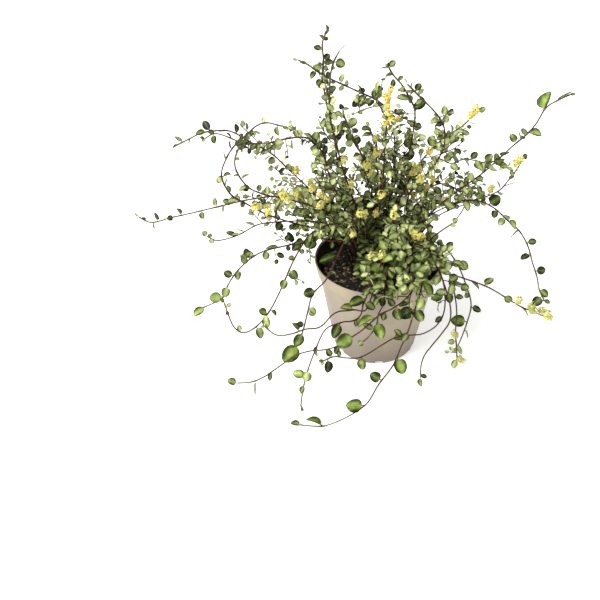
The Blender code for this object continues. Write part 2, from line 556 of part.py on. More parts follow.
class Space:
    """What stands where, to try each new leaf against."""

    def __init__(self):
        self.centres = np.empty((0, 3))
        self.reaches = np.empty(0)
        self.held = []

    def surround(self, points):
        """The middle of some points, and their farthest reach from it."""
        spread = np.array(points)
        centre = (spread.min(0) + spread.max(0)) / 2
        return centre, np.linalg.norm(spread - centre, axis=1).max()

    def add(self, owner, points, faces):
        """Holds a shape that the next ones keep clear of."""
        centre, reach = self.surround(points)
        self.centres = np.vstack([self.centres, centre])
        self.reaches = np.append(self.reaches, reach)
        self.held.append((owner, BVHTree.FromPolygons(points, faces)))

    def clear(self, points, faces, apart_from):
        """Whether a shape is clear of the floor, the soil and all that is held, apart from one owner's."""
        if min(point.z for point in points) < FLOOR_CLEARANCE / 2:
            return False
        if any(math.hypot(point.x, point.y) < RIM_RADIUS and point.z < SOIL_TOP for point in points):
            return False
        centre, reach = self.surround(points)
        near = np.flatnonzero(np.linalg.norm(self.centres - centre, axis=1) < self.reaches + reach)
        tree = BVHTree.FromPolygons(points, faces)
        held = [shape for owner, shape in (self.held[index] for index in near) if owner != apart_from]
        return not any(shape.overlap(tree) for shape in held)


def turned_shell(profile, sides):
    """The points and faces of a profile turned about +Z."""
    points = [Vector((radius * math.cos(angle), radius * math.sin(angle), height))
              for angle in np.arange(sides) * math.tau / sides for radius, height in profile]
    rows, count = len(profile), len(points)
    faces = [(start + row, (start + rows + row) % count, (start + rows + row + 1) % count, start + row + 1)
             for start in range(0, count, rows) for row in range(rows - 1)]
    return points, faces


def add_spikes(stems, space):
    """Stands a flower spike for each spot on the stem that the front view shows nearest to it."""
    rng = random.Random(5)
    for spot in FLOWER_SPOTS:
        choices = []
        for stem in stems:
            joints = range(len(stem.line) // 3, len(stem.line) - 1, 2)
            away = np.linalg.norm(shown(stem.line[joints]) - spot, axis=1)
            choices.append((away.min(), stem.name, stem, joints[int(away.argmin())]))
        for _, _, stem, joint in sorted(choices)[:4]:
            root, upright = stem.root(joint), Vector()
            tips = [placing(root, stem.ways[joint], rng.uniform(0, math.tau), SPIKE_LEAN, upright)
                    @ Vector((SPIKE_LENGTH, 0, 0)) for _ in range(6)]
            tip = first_clear(tips, stem, joint, space)
            if tip is not None:
                stem.spikes.append((root, tip))
                break


def first_clear(tips, stem, joint, space):
    """The highest tip whose spike is clear of all but its own stem."""
    root = stem.root(joint)
    for tip in sorted(tips, key=lambda tip: -tip.z):
        body = tube(np.array([root, root.lerp(tip, 0.4), tip]), [MARGIN, *[FLORET_RADIUS + MARGIN] * 2], 6)
        if space.clear(*body, stem.name):
            space.add(stem.name + "_spike", *body)
            return tip
    return None


def settle(stem, joint, place, length, space):
    """Sets a leaf at its place if it is clear of all that is there, and says whether it is."""
    points, faces = blade(length, MARGIN)
    points = [place @ point for point in points]
    fits = space.clear(points, faces, stem.name)
    if fits:
        space.add(stem.name + "_leaf", points, faces)
        stem.leaves.append((place, length, joint))
    return fits


def best_joint(stem, spot, reach):
    """How far a stem's best joint is from standing a reach off a spot of the front view, and that joint."""
    joints = np.arange(STRAIGHT_FOOT + 3, len(stem.line))
    offsets = spot - shown(stem.line[joints])
    onward = shown(stem.line[joints] + stem.ways[joints]) - shown(stem.line[joints])
    behind = np.maximum(0, -(offsets * onward).sum(axis=1))
    misses = np.abs(np.linalg.norm(offsets, axis=1) - reach) + behind * 0.3
    return misses.min(), joints[misses.argmin()]


def add_seen_leaves(stems, space, leaves):
    """Sets each leaf that the front view shows, on the joint that stands best for it."""
    rng = random.Random(3)
    for *spot, length, share in leaves:
        choices = sorted((*best_joint(stem, spot, length * LEAF_MIDDLE), stem.name, stem) for stem in stems)
        for miss, joint, _, stem in choices[:SEEN_STEMS]:
            root, size = stem.root(joint), length * view_scale([stem.line[joint]])[0]
            if miss < SEEN_MISS and any(settle(stem, joint, placing_seen(
                    root, spot, size, share, straying(rng, nudge), straying(rng, SEEN_TILT)), size, space)
                    for nudge in NUDGES):
                break


def add_leaves(stem, joints, space, rng):
    """Sets a leaf at each joint where one fits, turned or made smaller where it would touch something."""
    last = len(stem.line) - 1
    for joint in joints:
        share = joint / last
        length = stem.leaf * rng.uniform(0.85, 1.15) * (1 - 0.35 * max(0, share - 0.7) / 0.3)
        lean = math.radians(rng.uniform(45, 75) if joint < last else 20)
        tilt = straying(rng, 0.6)
        start = joint * GOLDEN_ANGLE + rng.uniform(-0.5, 0.5)
        for turn, shrink in TURNS_TRIED:
            place = placing(stem.root(joint), stem.ways[joint], start + turn, lean, tilt)
            if settle(stem, joint, place, length * shrink, space):
                break


def spacing(name):
    """How many of a stem's leaf gaps lie between two of its leaves that nothing in the front view places."""
    if name in RUNNERS:
        return RUNNER_EVERY
    return BACK_EVERY if name in BACK_RUNNERS else SHOOT_EVERY


def grow():
    """The stems, bent clear of each other, with their flower spikes and main leaves."""
    routes = stem_routes()
    spots = root_spots([route[0] for _, _, route in routes.values()])
    lines = bend_clear([stem_line(spot, route) for spot, (_, _, route) in zip(spots, routes.values())])
    stems = [Stem(name, leaf, gap, line) for (name, (leaf, gap, _)), line in zip(routes.items(), lines)]
    space = Space()
    space.add("pot", *turned_shell(pot_profile(), POT_SIDES))
    for stem in stems:
        space.add(stem.name, *stem.tube(MARGIN, 5))
    add_spikes(stems, space)
    add_seen_leaves([stem for stem in stems if stem.name not in BACK_RUNNERS], space, SEEN_LEAVES)
    for stem in stems:
        last = len(stem.line) - 1
        joints = [joint for joint in range(last, STRAIGHT_FOOT + 2, -stem.stride * spacing(stem.name))
                  if stem.name not in RUNNERS or joint == last or in_crown(stem.line[joint])]
        taken = [joint for _, _, joint in stem.leaves]
        joints = [joint for joint in joints if all(abs(joint - other) > KEPT_OFF for other in taken)]
        add_leaves(stem, joints, space, random.Random(stem.name))
    return stems


def material(name, colour, roughness):
    """A plain material, of a colour given as it looks on a screen."""
    made = bpy.data.materials.new(name)
    made.use_nodes = True
    surface = made.node_tree.nodes["Principled BSDF"]
    linear = [((value / 255 + 0.055) / 1.055) ** 2.4 for value in bytes.fromhex(colour)]
    surface.inputs["Base Color"].default_value = (*linear, 1)
    surface.inputs["Roughness"].default_value = roughness
    surface.inputs["Metallic"].default_value = 0
    made.diffuse_color = (*linear, 1)
    return made


def solid(name, points, faces):
    """An object from points and faces."""
    mesh = bpy.data.meshes.new(name)
    mesh.from_pydata([Vector(point) * MM for point in points], [], faces)
    return bpy.data.objects.new(name, mesh)


def combine(body, pieces, operation):
    """Joins pieces to a body, or cuts them out of it, and takes them away."""
    group = bpy.data.collections.new(body.name + "_pieces")
    bpy.context.scene.collection.children.link(group)
    for piece in pieces:
        group.objects.link(piece)
    modifier = body.modifiers.new("pieces", "BOOLEAN")
    modifier.operation = operation
    modifier.operand_type = "COLLECTION"
    modifier.collection = group
    bpy.context.view_layer.objects.active = body
    bpy.ops.object.modifier_apply(modifier=modifier.name)
    for piece in pieces:
        bpy.data.objects.remove(piece)
    bpy.data.collections.remove(group)


def show(body, finish):
    """Puts an object in the scene, in its material."""
    bpy.context.scene.collection.objects.link(body)
    body.data.materials.append(finish)
    return body


def make_pot():
    """The pot: its section turned about the axis, with drainage notches cut at the edge of its base."""
    mesh = bpy.data.meshes.new("pot")
    form = bmesh.new()
    line = [form.verts.new((radius * MM, 0, height * MM)) for radius, height in pot_profile()]
    edges = [form.edges.new(pair) for pair in zip(line, line[1:])]
    bmesh.ops.spin(form, geom=line + edges, axis=(0, 0, 1), angle=math.tau, steps=POT_SIDES, use_merge=True)
    bmesh.ops.remove_doubles(form, verts=form.verts, dist=1e-6)
    bmesh.ops.recalc_face_normals(form, faces=form.faces)
    form.to_mesh(mesh)
    form.free()
    pot = show(bpy.data.objects.new("pot", mesh), material("pot_plastic", "b8aa97", 0.6))
    cutters = []
    for index in range(NOTCHES):
        angle = math.tau * (index + 0.5) / NOTCHES
        bpy.ops.mesh.primitive_cube_add(size=1, rotation=(0, 0, angle))
        cutter = bpy.context.object
        cutter.scale = (NOTCH_LENGTH * MM, NOTCH_WIDTH * MM, NOTCH_HEIGHT * 2 * MM)
        cutter.location = (BASE_RADIUS * MM * math.cos(angle), BASE_RADIUS * MM * math.sin(angle), 0)
        cutters.append(cutter)
    combine(pot, cutters, "DIFFERENCE")
    pot.data.shade_smooth()
    pot.data.set_sharp_from_angle(angle=math.radians(25))


def soil_radius(height):
    """The soil's radius at a height, just inside the pot's faceted wall."""
    return (pot_radius(height) - WALL) * math.cos(math.pi / POT_SIDES) - GAP


def make_soil(stems):
    """The plug of potting soil, with a lumpy top and a hole for each stem."""
    edge = SOIL_LEVEL - WALL - 1
    base = BASE_THICKNESS + GAP
    points = [Vector((0, 0, SOIL_LEVEL + SOIL_DOME))]
    for share in SOIL_RINGS:
        for angle in np.arange(SOIL_SIDES) * math.tau / SOIL_SIDES:
            spot = Vector((math.cos(angle), math.sin(angle), 0)) * soil_radius(edge) * share
            lump = SOIL_RELIEF * noise.noise(spot / SOIL_LUMP)
            points.append(spot + Vector((0, 0, SOIL_LEVEL + SOIL_DOME * (1 - share**2) + lump)))
    for height in (edge, base):
        radius = soil_radius(height)
        points += [Vector((radius * math.cos(angle), radius * math.sin(angle), height))
                   for angle in np.arange(SOIL_SIDES) * math.tau / SOIL_SIDES]
    faces = [(0, corner + 1, (corner + 1) % SOIL_SIDES + 1) for corner in range(SOIL_SIDES)]
    for start in range(1, len(points) - SOIL_SIDES, SOIL_SIDES):
        below = start + SOIL_SIDES
        faces += [(start + corner, below + corner, below + (corner + 1) % SOIL_SIDES,
                   start + (corner + 1) % SOIL_SIDES) for corner in range(SOIL_SIDES)]
    faces.append(tuple(range(len(points) - SOIL_SIDES, len(points)))[::-1])
    soil = show(solid("soil", points, faces), material("potting_soil", "2b211b", 0.95))
    holes = []
    for stem in stems:
        foot = [stem.line[0] - [0, 0, GAP], stem.line[STRAIGHT_FOOT - 1]]
        holes.append(solid("hole", *tube(np.array(foot), [STEM_THICK + GAP * 2] * 2, STEM_SIDES)))
    combine(soil, holes, "DIFFERENCE")


def make_stem(stem, finish):
    """A leafy stem: a slim tube with its leaves and flower spikes joined to it."""
    body = show(solid(stem.name, *stem.tube(0, STEM_SIDES)), finish)
    pieces = []
    for place, length, _ in stem.leaves:
        points, faces = blade(length)
        pieces.append(solid("leaf", [place @ point for point in points], faces))
    for root, tip in stem.spikes:
        pieces.append(solid("spur", *tube(np.array([root, tip]), [SPIKE_RADIUS] * 2, STEM_SIDES)))
        pieces += [solid("floret", *octahedron(root.lerp(tip, share), FLORET_RADIUS)) for share in FLORETS]
    combine(body, pieces, "UNION")


def main():
    for item in list(bpy.data.objects):
        bpy.data.objects.remove(item)
    stems = grow()
    make_pot()
    make_soil(stems)
    finish = material("vine_leaf", "5f7d35", 0.45)
    for stem in stems:
        make_stem(stem, finish)


main()
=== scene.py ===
"""A wire vine in its nursery pot: the pot, the potting soil and the stems of the frame in their finer forms,
with more leaves, twigs and flowers, on a pale floor.

Routes and sizes are in millimetres and meshes in metres. The origin is the centre of the pot's flat base, +Z
is up, and the front, which the routes are read from, is -Y."""

import math
import random

import bmesh
import bpy
import numpy as np
from mathutils import Matrix, Vector
from mathutils.bvhtree import BVHTree
from mathutils.kdtree import KDTree


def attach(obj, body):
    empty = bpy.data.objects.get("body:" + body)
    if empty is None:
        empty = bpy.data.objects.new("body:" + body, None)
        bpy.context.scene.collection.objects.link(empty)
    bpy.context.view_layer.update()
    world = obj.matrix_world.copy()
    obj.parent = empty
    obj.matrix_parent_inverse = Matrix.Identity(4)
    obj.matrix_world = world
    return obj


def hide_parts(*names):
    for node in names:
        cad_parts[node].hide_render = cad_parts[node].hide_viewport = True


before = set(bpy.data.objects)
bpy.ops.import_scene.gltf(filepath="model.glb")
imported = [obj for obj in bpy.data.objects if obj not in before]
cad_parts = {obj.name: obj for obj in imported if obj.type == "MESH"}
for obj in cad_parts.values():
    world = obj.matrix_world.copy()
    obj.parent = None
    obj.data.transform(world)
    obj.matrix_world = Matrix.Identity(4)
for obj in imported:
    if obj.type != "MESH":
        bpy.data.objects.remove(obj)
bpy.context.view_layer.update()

MM = 0.001
GAP = 0.3

# The pot
POT_HEIGHT = 90.0
RIM_RADIUS = 52.5
BASE_RADIUS = 36.5
WALL = 1.4
BASE_THICKNESS = 2.0
COLLAR_DEPTH = 13.0
COLLAR_STEP = 1.8
COLLAR_SLOPE = 1.2
FOOT_CHAMFER = 2.0
POT_SIDES = 36
NOTCHES = 6
NOTCH_WIDTH = 7.0
NOTCH_HEIGHT = 4.5
NOTCH_LENGTH = 7.0

# The soil
SOIL_LEVEL = 77.0
SOIL_DOME = 2.5
SOIL_RELIEF = 1.6
SOIL_CLEARANCE = 3.0
SOIL_TOP = SOIL_LEVEL + SOIL_DOME + SOIL_RELIEF + SOIL_CLEARANCE

# Where the stems stand in the soil
CROWN_CENTRE = (9.0, 4.0)
CROWN_RADIUS = 32.0
CROWN_SPOTS = 62
ROOT_DEPTH = 8.0
AIM_SHARE = 0.4
GOLDEN_ANGLE = math.pi * (3 - math.sqrt(5))
GOLDEN_SHARE = 0.618034

# The front view that the routes are read in: its axis passes this far right of the rim's centre and above it
VIEW_ELEVATION = math.radians(38.5)
VIEW_ROLL = math.radians(-3.0)
VIEW_DISTANCE = 500.0
VIEW_AXIS = (-64.6, -36.7)

# Stems
STEM_STEP = 3.5
STEM_APART = 5.0
STEM_THICK = 1.05
STEM_THIN = 0.62
STEM_LIFT = 0.16
RISE_SHARE = 0.35
SPAN_READS = 12
SPACE_SIDES = 5
STRAIGHT_FOOT = 3
CLEAR_ROUNDS = 120
POT_CLEARANCE = 3.0
FLOOR_CLEARANCE = 1.6
RING_SAG = 1.2
SETBACK = 0.35

# Leaves: the outline is in shares of a leaf's length and width, and turns are tried in order, each with a
# size for the leaf
BLADE_THICKNESS = 0.6
BLADE_OUTLINE = ((0.2, 0.07), (0.44, 0.48), (0.8, 0.42))
BLADE_FOLD = 0.22
LEAF_WIDTH = 0.7
LEAF_SIZES = (0.85, 1.15)
LEANS = (45, 75)
TIP_LEAN = 20
TIP_FROM = 0.7
TIP_SPAN = 0.3
TIP_SHRINK = 0.35
TURN_SWAY = 0.5
MAIN_SWAY = 0.6
MARGIN = 0.35
LIGHT = Vector((-0.1, -0.5, 1.0))
TURNS_TRIED = ((0, 1), (2.6, 1), (1.3, 0.95), (-1.3, 0.95), (3.6, 0.85), (0.6, 0.75), (-2.0, 0.7))

# Flower spikes
SPIKE_LENGTH = 7.5
SPIKE_LEAN = math.radians(55)
SPIKE_SIDES = 6
SPIKE_TRIES = 6
SPIKE_STEMS = 4
FLORET_RADIUS = 1.6

# Each runner's leaf length, gap between leaves, and route in the front view: millimetres right of the rim's
# centre, millimetres above it, and millimetres behind the pot's axis
RUNNERS = {
    "tall_left": (8.5, 10, [
        (-20, 30, 14), (-32, 60, 20), (-35, 92, 25), (-42, 124, 28), (-46, 150, 28), (-45, 163, 27),
        (-46, 177, 25), (-42, 189, 22)]),
    "tall_second": (7.5, 9, [
        (-14, 30, 0), (-23, 55, -8), (-30, 76, -14), (-35, 97, -20), (-39, 113, -24), (-40, 127, -27),
        (-39, 152, -32), (-36, 163, -34), (-31, 172, -35)]),
    "high_tendril": (6.0, 14, [
        (12, 60, 22), (14, 101, 16), (7, 123, 10), (-1, 130, 5), (-16, 137, -2), (-27, 142, -10),
        (-46, 151, -18), (-59, 160, -20), (-68, 164, -20)]),
    "left_high": (8.0, 9, [
        (-34, 34, 10), (-60, 59, 20), (-75, 73, 26), (-88, 85, 31), (-106, 95, 36), (-123, 104, 40),
        (-138, 104, 42), (-148, 102, 43), (-156, 98, 43), (-170, 91, 42)]),
    "left_upper": (8.0, 10, [
        (-28, 40, -2), (-40, 67, -5), (-46, 86, -8), (-58, 98, -8), (-74, 98, -6), (-92, 94, -2),
        (-114, 95, 3), (-127, 100, 5), (-136, 102, 5), (-145, 97, 4)]),
    "left_loop": (7.0, 16, [
        (-46, 21, -12), (-65, 26, -14), (-93, 35, -18), (-112, 45, -22), (-121, 50, -24), (-128, 60, -25),
        (-130, 69, -24), (-127, 79, -22), (-120, 91, -20), (-109, 101, -18), (-100, 109, -16),
        (-92, 111, -14), (-83, 109, -12), (-74, 107, -12)]),
    "inner_loop": (7.0, 13, [
        (-38, 34, -3), (-56, 42, -4), (-74, 47, -5), (-93, 51, -6), (-106, 56, -7), (-113, 63, -8),
        (-118, 72, -9), (-119, 79, -9), (-115, 90, -8), (-108, 93, -8)]),
    "left_far": (8.0, 12, [
        (-44, 42, 14), (-65, 48, 22), (-81, 50, 28), (-107, 47, 34), (-133, 41, 38), (-158, 35, 40),
        (-172, 32, 40), (-189, 28, 38), (-200, 33, 36)]),
    "left_yellow": (8.0, 11, [
        (-40, 26, 3), (-58, 29, 4), (-87, 28, 5), (-100, 26, 5), (-113, 19, 4), (-123, 15, 3),
        (-135, 13, 2), (-143, 17, 1)]),
    "left_drop": (9.5, 11, [
        (-34, 14, -10), (-50, 15, -11), (-70, 10, -13), (-97, 3, -15), (-108, -4, -17), (-118, -14, -19),
        (-125, -25, -21), (-129, -35, -23), (-136, -39, -25), (-148, -44, -27)]),
    "left_hook": (9.0, 13, [
        (-30, 26, -18), (-46, 24, -24), (-56, 18, -28), (-64, 7, -33), (-71, -6, -38), (-82, -31, -46),
        (-90, -46, -51), (-98, -56, -54), (-104, -61, -56), (-112, -64, -57), (-119, -60, -56),
        (-125, -47, -53), (-128, -38, -50)]),
    "front_left": (8.5, 12, [
        (-14, 32, -16), (-21, 26, -26), (-29, 9, -40), (-36, -6, -52), (-43, -20, -60), (-54, -32, -66),
        (-58, -46, -70), (-62, -62, -73), (-66, -74, -75)]),
    "low_left": (12.5, 15, [
        (26, -6, -40), (30, -26, -56), (22, -37, -66), (12, -44, -73), (2, -49, -78), (-6, -56, -81),
        (-13, -62, -83), (-22, -68, -84), (-31, -74, -85), (-43, -78, -86), (-55, -79, -87), (-66, -82, -88),
        (-76, -88, -89), (-86, -95, -90), (-95, -101, -92), (-105, -105, -94), (-118, -106, -96)]),
    "left_leaves": (11.0, 12, [
        (2, -6, -42), (-3, -28, -56), (-9, -42, -64), (-19, -48, -71), (-31, -49, -76), (-40, -54, -79),
        (-50, -60, -80), (-60, -61, -80), (-72, -65, -80), (-84, -66, -79), (-95, -58, -77)]),
    "across_front": (10.5, 13, [
        (36, 14, -20), (50, -8, -30), (56, -30, -37), (55, -48, -44), (49, -58, -51), (37, -65, -60),
        (28, -66, -65), (15, -68, -69), (4, -74, -72), (-7, -81, -75), (-16, -85, -77), (-26, -85, -79),
        (-37, -84, -81), (-46, -88, -83)]),
    "front_to_floor": (12.0, 17, [
        (34, 2, -34), (38, -16, -50), (36, -29, -60), (31, -45, -69), (25, -64, -77), (20, -75, -82),
        (13, -91, -89), (1, -107, -98), (-9, -123, -103), (-25, -134, -104), (-42, -141, -104),
        (-54, -143, -103), (-65, -142, -101)]),
    "front_low": (10.0, 12, [
        (-4, -8, -46), (-8, -30, -60), (-13, -44, -67), (-21, -51, -73), (-33, -53, -79), (-44, -62, -86),
        (-52, -79, -93), (-57, -92, -97), (-61, -106, -99), (-63, -117, -99), (-64, -126, -98)]),
    "front_short": (10.0, 9, [
        (8, -8, -40), (6, -28, -56), (5, -40, -63), (1, -48, -66), (-1, -58, -68), (-8, -68, -69),
        (-13, -72, -69)]),
    "right_short": (9.0, 12, [
        (30, 16, 0), (47, 12, -3), (57, 6, -7), (66, -6, -11), (73, -22, -15), (78, -41, -18),
        (75, -54, -21), (70, -68, -25), (66, -77, -30)]),
    "right_yellow": (8.5, 12, [
        (34, 12, -14), (47, -2, -20), (58, -14, -25), (70, -18, -30), (92, -26, -37), (109, -36, -42),
        (119, -42, -44), (133, -48, -45), (144, -52, -44)]),
    "right_arch": (8.5, 14, [
        (34, 24, 6), (44, 34, 8), (60, 42, 9), (71, 46, 9), (84, 46, 8), (97, 40, 6), (108, 30, 4),
        (118, 21, 2), (125, 9, 0), (129, -5, -3), (133, -18, -6), (135, -29, -9), (139, -37, -12)]),
    "right_reach": (10.0, 15, [
        (24, 16, -6), (38, 30, -6), (60, 49, -4), (90, 71, 0), (112, 91, 3), (125, 102, 5), (132, 110, 6),
        (141, 124, 6), (151, 130, 7), (162, 135, 8)]),
    "right_pink": (7.5, 10, [
        (28, 30, 20), (46, 40, 28), (62, 43, 34), (78, 46, 39), (92, 50, 42), (102, 55, 44), (109, 63, 44),
        (116, 72, 43), (122, 82, 42)]),
    "right_bushy": (8.5, 7, [
        (18, 45, 12), (30, 70, 18), (46, 90, 23), (58, 100, 25), (69, 107, 26), (77, 114, 26),
        (85, 121, 25)]),
    "top_left_arch": (8.0, 8, [
        (14, 45, 24), (24, 78, 24), (30, 105, 23), (31, 122, 22), (27, 131, 20), (20, 143, 18),
        (13, 151, 16), (9, 158, 14)]),
    "top_right_arch": (8.0, 10, [
        (26, 50, -4), (46, 74, -10), (55, 90, -15), (56, 104, -20), (53, 113, -24), (46, 122, -27),
        (39, 129, -28), (31, 137, -28), (24, 144, -27)]),
    "upper_middle": (8.0, 9, [
        (-5, 55, 8), (-6, 70, 8), (-10, 78, 8), (-14, 86, 8), (-18, 92, 8), (-21, 98, 7), (-23, 104, 6),
        (-25, 110, 5), (-28, 117, 4), (-29, 123, 3)]),
    "centre_left": (7.5, 9, [
        (0, 58, 18), (0, 72, 18), (-1, 84, 17), (-1, 95, 16), (-5, 102, 15), (-7, 108, 14)]),
    "centre_upright": (8.5, 6, [
        (2, 40, -8), (5, 70, -13), (6, 92, -15), (8, 113, -17), (10, 130, -18), (12, 141, -18)]),
    "right_tail": (9.0, 11, [
        (38, 8, -28), (50, -10, -40), (57, -28, -50), (61, -45, -57), (60, -55, -63), (54, -64, -69),
        (45, -75, -74), (39, -83, -77), (36, -93, -79), (36, -102, -80)]),
    "right_tail_yellow": (8.0, 8, [
        (42, 14, -10), (56, -6, -18), (63, -26, -26), (66, -46, -32), (65, -64, -37), (66, -78, -41),
        (66, -89, -43)]),
}

# The shoots of the crown fill this oval of the front view, and leave its lower left, where soil shows, bare
SHOOTS = 22
SHOOT_CENTRE = (2.0, 38.0)
SHOOT_REACH = (80.0, 60.0)
SHOOT_DEPTHS = (-42.0, 62.0)
SHOOT_FRONT = (-36.0, -50.0)
SHOOT_LEAF = 7.5
SHOOT_GAP = 9.0
SHOOT_EVERY = 3
RUNNER_EVERY = 8
BACK_EVERY = 4
BARE_SOIL = (-12.0, 14.0)

# Each back runner's leaf length, gap between leaves, and route, all of it behind the crown and the pot
BACK_RUNNERS = {
    "back_right": (9.0, 11, [
        (30, 30, 120), (58, 52, 126), (80, 64, 112), (92, 78, 88), (88, 92, 60)]),
    "back_hanging": (8.5, 12, [
        (18, 36, 126), (34, 66, 132), (52, 90, 112), (58, 104, 80), (50, 112, 52), (58, 110, 28)]),
    "back_middle": (9.0, 11, [
        (4, 38, 130), (-4, 70, 140), (4, 98, 128), (2, 122, 104), (14, 134, 82)]),
    "back_floor": (9.5, 13, [
        (-6, 42, 116), (-16, 58, 100), (-21, 68, 62), (-14, 76, 22), (2, 86, 4), (26, 92, 1.6),
        (44, 88, 1.6)]),
    "back_curl": (8.5, 11, [
        (-16, 36, 124), (-40, 64, 128), (-56, 88, 104), (-52, 106, 74), (-64, 114, 46), (-56, 122, 34)]),
    "back_left": (8.5, 11, [
        (-30, 28, 124), (-58, 50, 126), (-78, 68, 108), (-86, 84, 80), (-78, 92, 58)]),
}

# The places in the front view that the flower spikes are nearest to
FLOWER_SPOTS = [(-72, 63), (-52, 58), (-76, 45), (-88, 38), (10, 126), (10, 108), (29, 67), (47, 54), (9, 38),
                (-10, 32), (30, 23), (93, 60), (122, 81), (136, -48), (63, -83)]

# The larger leaves that the front view shows: for each length, the leaves' places right of the rim's centre
# and above it, and the share of a leaf's breadth that is turned to the view where that isn't all of it
SEEN_LEAVES = (
    (20, ((-73, -82),)), (18, ((141, 132, 0.8), (41, 11, 0.6))), (17, ((-30, -72), (-11, -55, 0.5),
    (-42, -2, 0.7))), (16, ((-20, -124),)), (15, ((-54, -137, 0.3), (-55, -141, 0.3), (-35, -63, 0.8),
    (-15, -42, 0.8), (2, -64, 0.8), (23, -48, 0.9), (20, -94), (156, 133, 0.3), (43, -29, 0.9))),
    (14, ((-67, -71), (66, -54), (0, -23))), (12, ((-91, 7, 0.7), (-137, -35), (-149, -46, 0.8), (-93, -53),
    (-66, -98), (-41, -94), (-102, -111, 0.5), (-26, -43, 0.8), (17, -49, 0.8), (35, -50), (72, -9),
    (47, -35), (134, 102, 0.8), (100, 48), (-1, 136), (-14, 128), (20, 132, 0.9), (36, 127, 0.9),
    (21, 110, 0.5), (26, 95, 0.8), (28, 86, 0.8), (36, -1), (35, -11, 0.8), (40, -20), (10, -34, 0.9))),
    (11, ((-144, 110), (-58, -31), (-73, 17, 0.8), (-69, 8), (-98, -65, 0.8), (-5, -42), (-13, -93, 0.9),
    (-5, -99), (62, -24), (132, -39, 0.9), (114, 25, 0.8), (-47, 35), (45, 97), (21, -28), (-1, -10))),
    (10, ((-101, 102, 0.7), (-126, -32), (-79, -26), (-68, -18), (-51, -82, 0.6), (-59, -102),
    (15, -68, 0.7), (22, -69), (56, -6), (83, -25, 0.7), (93, -21, 0.7), (60, -37), (140, -32),
    (125, -48, 0.7), (60, 42), (112, 61, 0.2), (-29, 160), (-41, 118), (-34, 99, 0.6), (-85, 41, 0.5),
    (-60, 32, 0.7), (-41, 37, 0.8), (-20, 112), (-17, 99), (15, 86, 0.8), (49, -20), (25, -20),
    (-18, -10))), (9, ((-150, 102, 0.8), (-125, 67, 0.5), (-108, 27, 0.7), (-107, 2), (-128, -14),
    (-116, -17, 0.9), (-96, -46, 0.8), (-69, -57, 0.8), (-58, 9), (-123, 19, 0.5), (10, -37), (111, -37),
    (84, -45, 0.8), (69, -79, 0.7), (64, -92, 0.7), (130, 12), (122, -1, 0.8), (138, -12), (112, 100),
    (-40, 162, 0.8), (-49, 111, 0.7), (-83, 103, 0.7), (-60, 101, 0.9), (-82, 24), (35, 143, 0.9),
    (26, 137, 0.8), (28, -28))), (8, ((-130, 104, 0.7), (-136, 95, 0.9), (-169, 100, 0.4), (-136, 47, 0.6),
    (-185, 35, 0.4), (-107, 69, 0.4), (-113, 56, 0.4), (-115, 2, 0.9), (-93, 0), (-51, -48, 0.9),
    (-63, -112, 0.9), (-90, -102, 0.6), (-41, -80), (-35, -80, 0.9), (5, -50), (-17, -57, 0.9),
    (16, -63, 0.9), (36, -108, 0.4), (49, -54), (65, -7, 0.9), (74, -65, 0.4), (110, 72, 0.7),
    (119, 73, 0.6), (103, 28, 0.9), (-54, 175), (-54, 151), (-30, 148, 0.7), (13, 161, 0.9))))

# How far along a leaf its middle is, how far a joint may miss a seen leaf's place and what it costs to stand
# beyond it, on how many stems and with what nudges it is tried, how much its face is tilted, and how many of
# its stem's steps stay free beside it
LEAF_MIDDLE = 0.58
SEEN_MISS = 5.5
BEHIND_COST = 0.3
SEEN_STEMS = 3
NUDGES = (0, 0.15, 0.15, 0.3, 0.3, 0.3, 0.45, 0.45, 0.45)
SEEN_TILT = 0.35
KEPT_OFF = 3

RIM_CENTRE = Vector((0, 0, POT_HEIGHT))
VIEW_RIGHT = Vector((math.cos(VIEW_ROLL), math.sin(VIEW_ROLL) * math.sin(VIEW_ELEVATION),
                     math.sin(VIEW_ROLL) * math.cos(VIEW_ELEVATION)))
VIEW_UP = Vector((-math.sin(VIEW_ROLL), math.cos(VIEW_ROLL) * math.sin(VIEW_ELEVATION),
                  math.cos(VIEW_ROLL) * math.cos(VIEW_ELEVATION)))
VIEW_NEAR = Vector((0, -math.cos(VIEW_ELEVATION), math.sin(VIEW_ELEVATION)))
VIEW_EYE = RIM_CENTRE + VIEW_NEAR * VIEW_DISTANCE + VIEW_RIGHT * VIEW_AXIS[0] + VIEW_UP * VIEW_AXIS[1]


def seen(across, up, depth):
    """The point at that depth that the front view shows across and up from the rim's centre."""
    ray = RIM_CENTRE + VIEW_RIGHT * across + VIEW_UP * up - VIEW_EYE
    return np.array(VIEW_EYE + ray * (depth - VIEW_EYE.y) / ray.y)


def shown(points):
    """How far across and up from the rim's centre the front view shows each point."""
    rays = np.array(points) - np.array(VIEW_EYE)
    rays = rays * (VIEW_DISTANCE / -(rays @ np.array(VIEW_NEAR)))[:, None]
    return np.stack([rays @ np.array(VIEW_RIGHT), rays @ np.array(VIEW_UP)], axis=1) + VIEW_AXIS


def view_scale(points):
    """How many millimetres at each point the front view shows as one at the rim's centre."""
    return (np.array(VIEW_EYE) - points) @ np.array(VIEW_NEAR) / VIEW_DISTANCE


def pot_radius(height):
    """The pot's outer radius at a height, without its collar."""
    return BASE_RADIUS + (RIM_RADIUS - COLLAR_STEP - BASE_RADIUS) * height / POT_HEIGHT


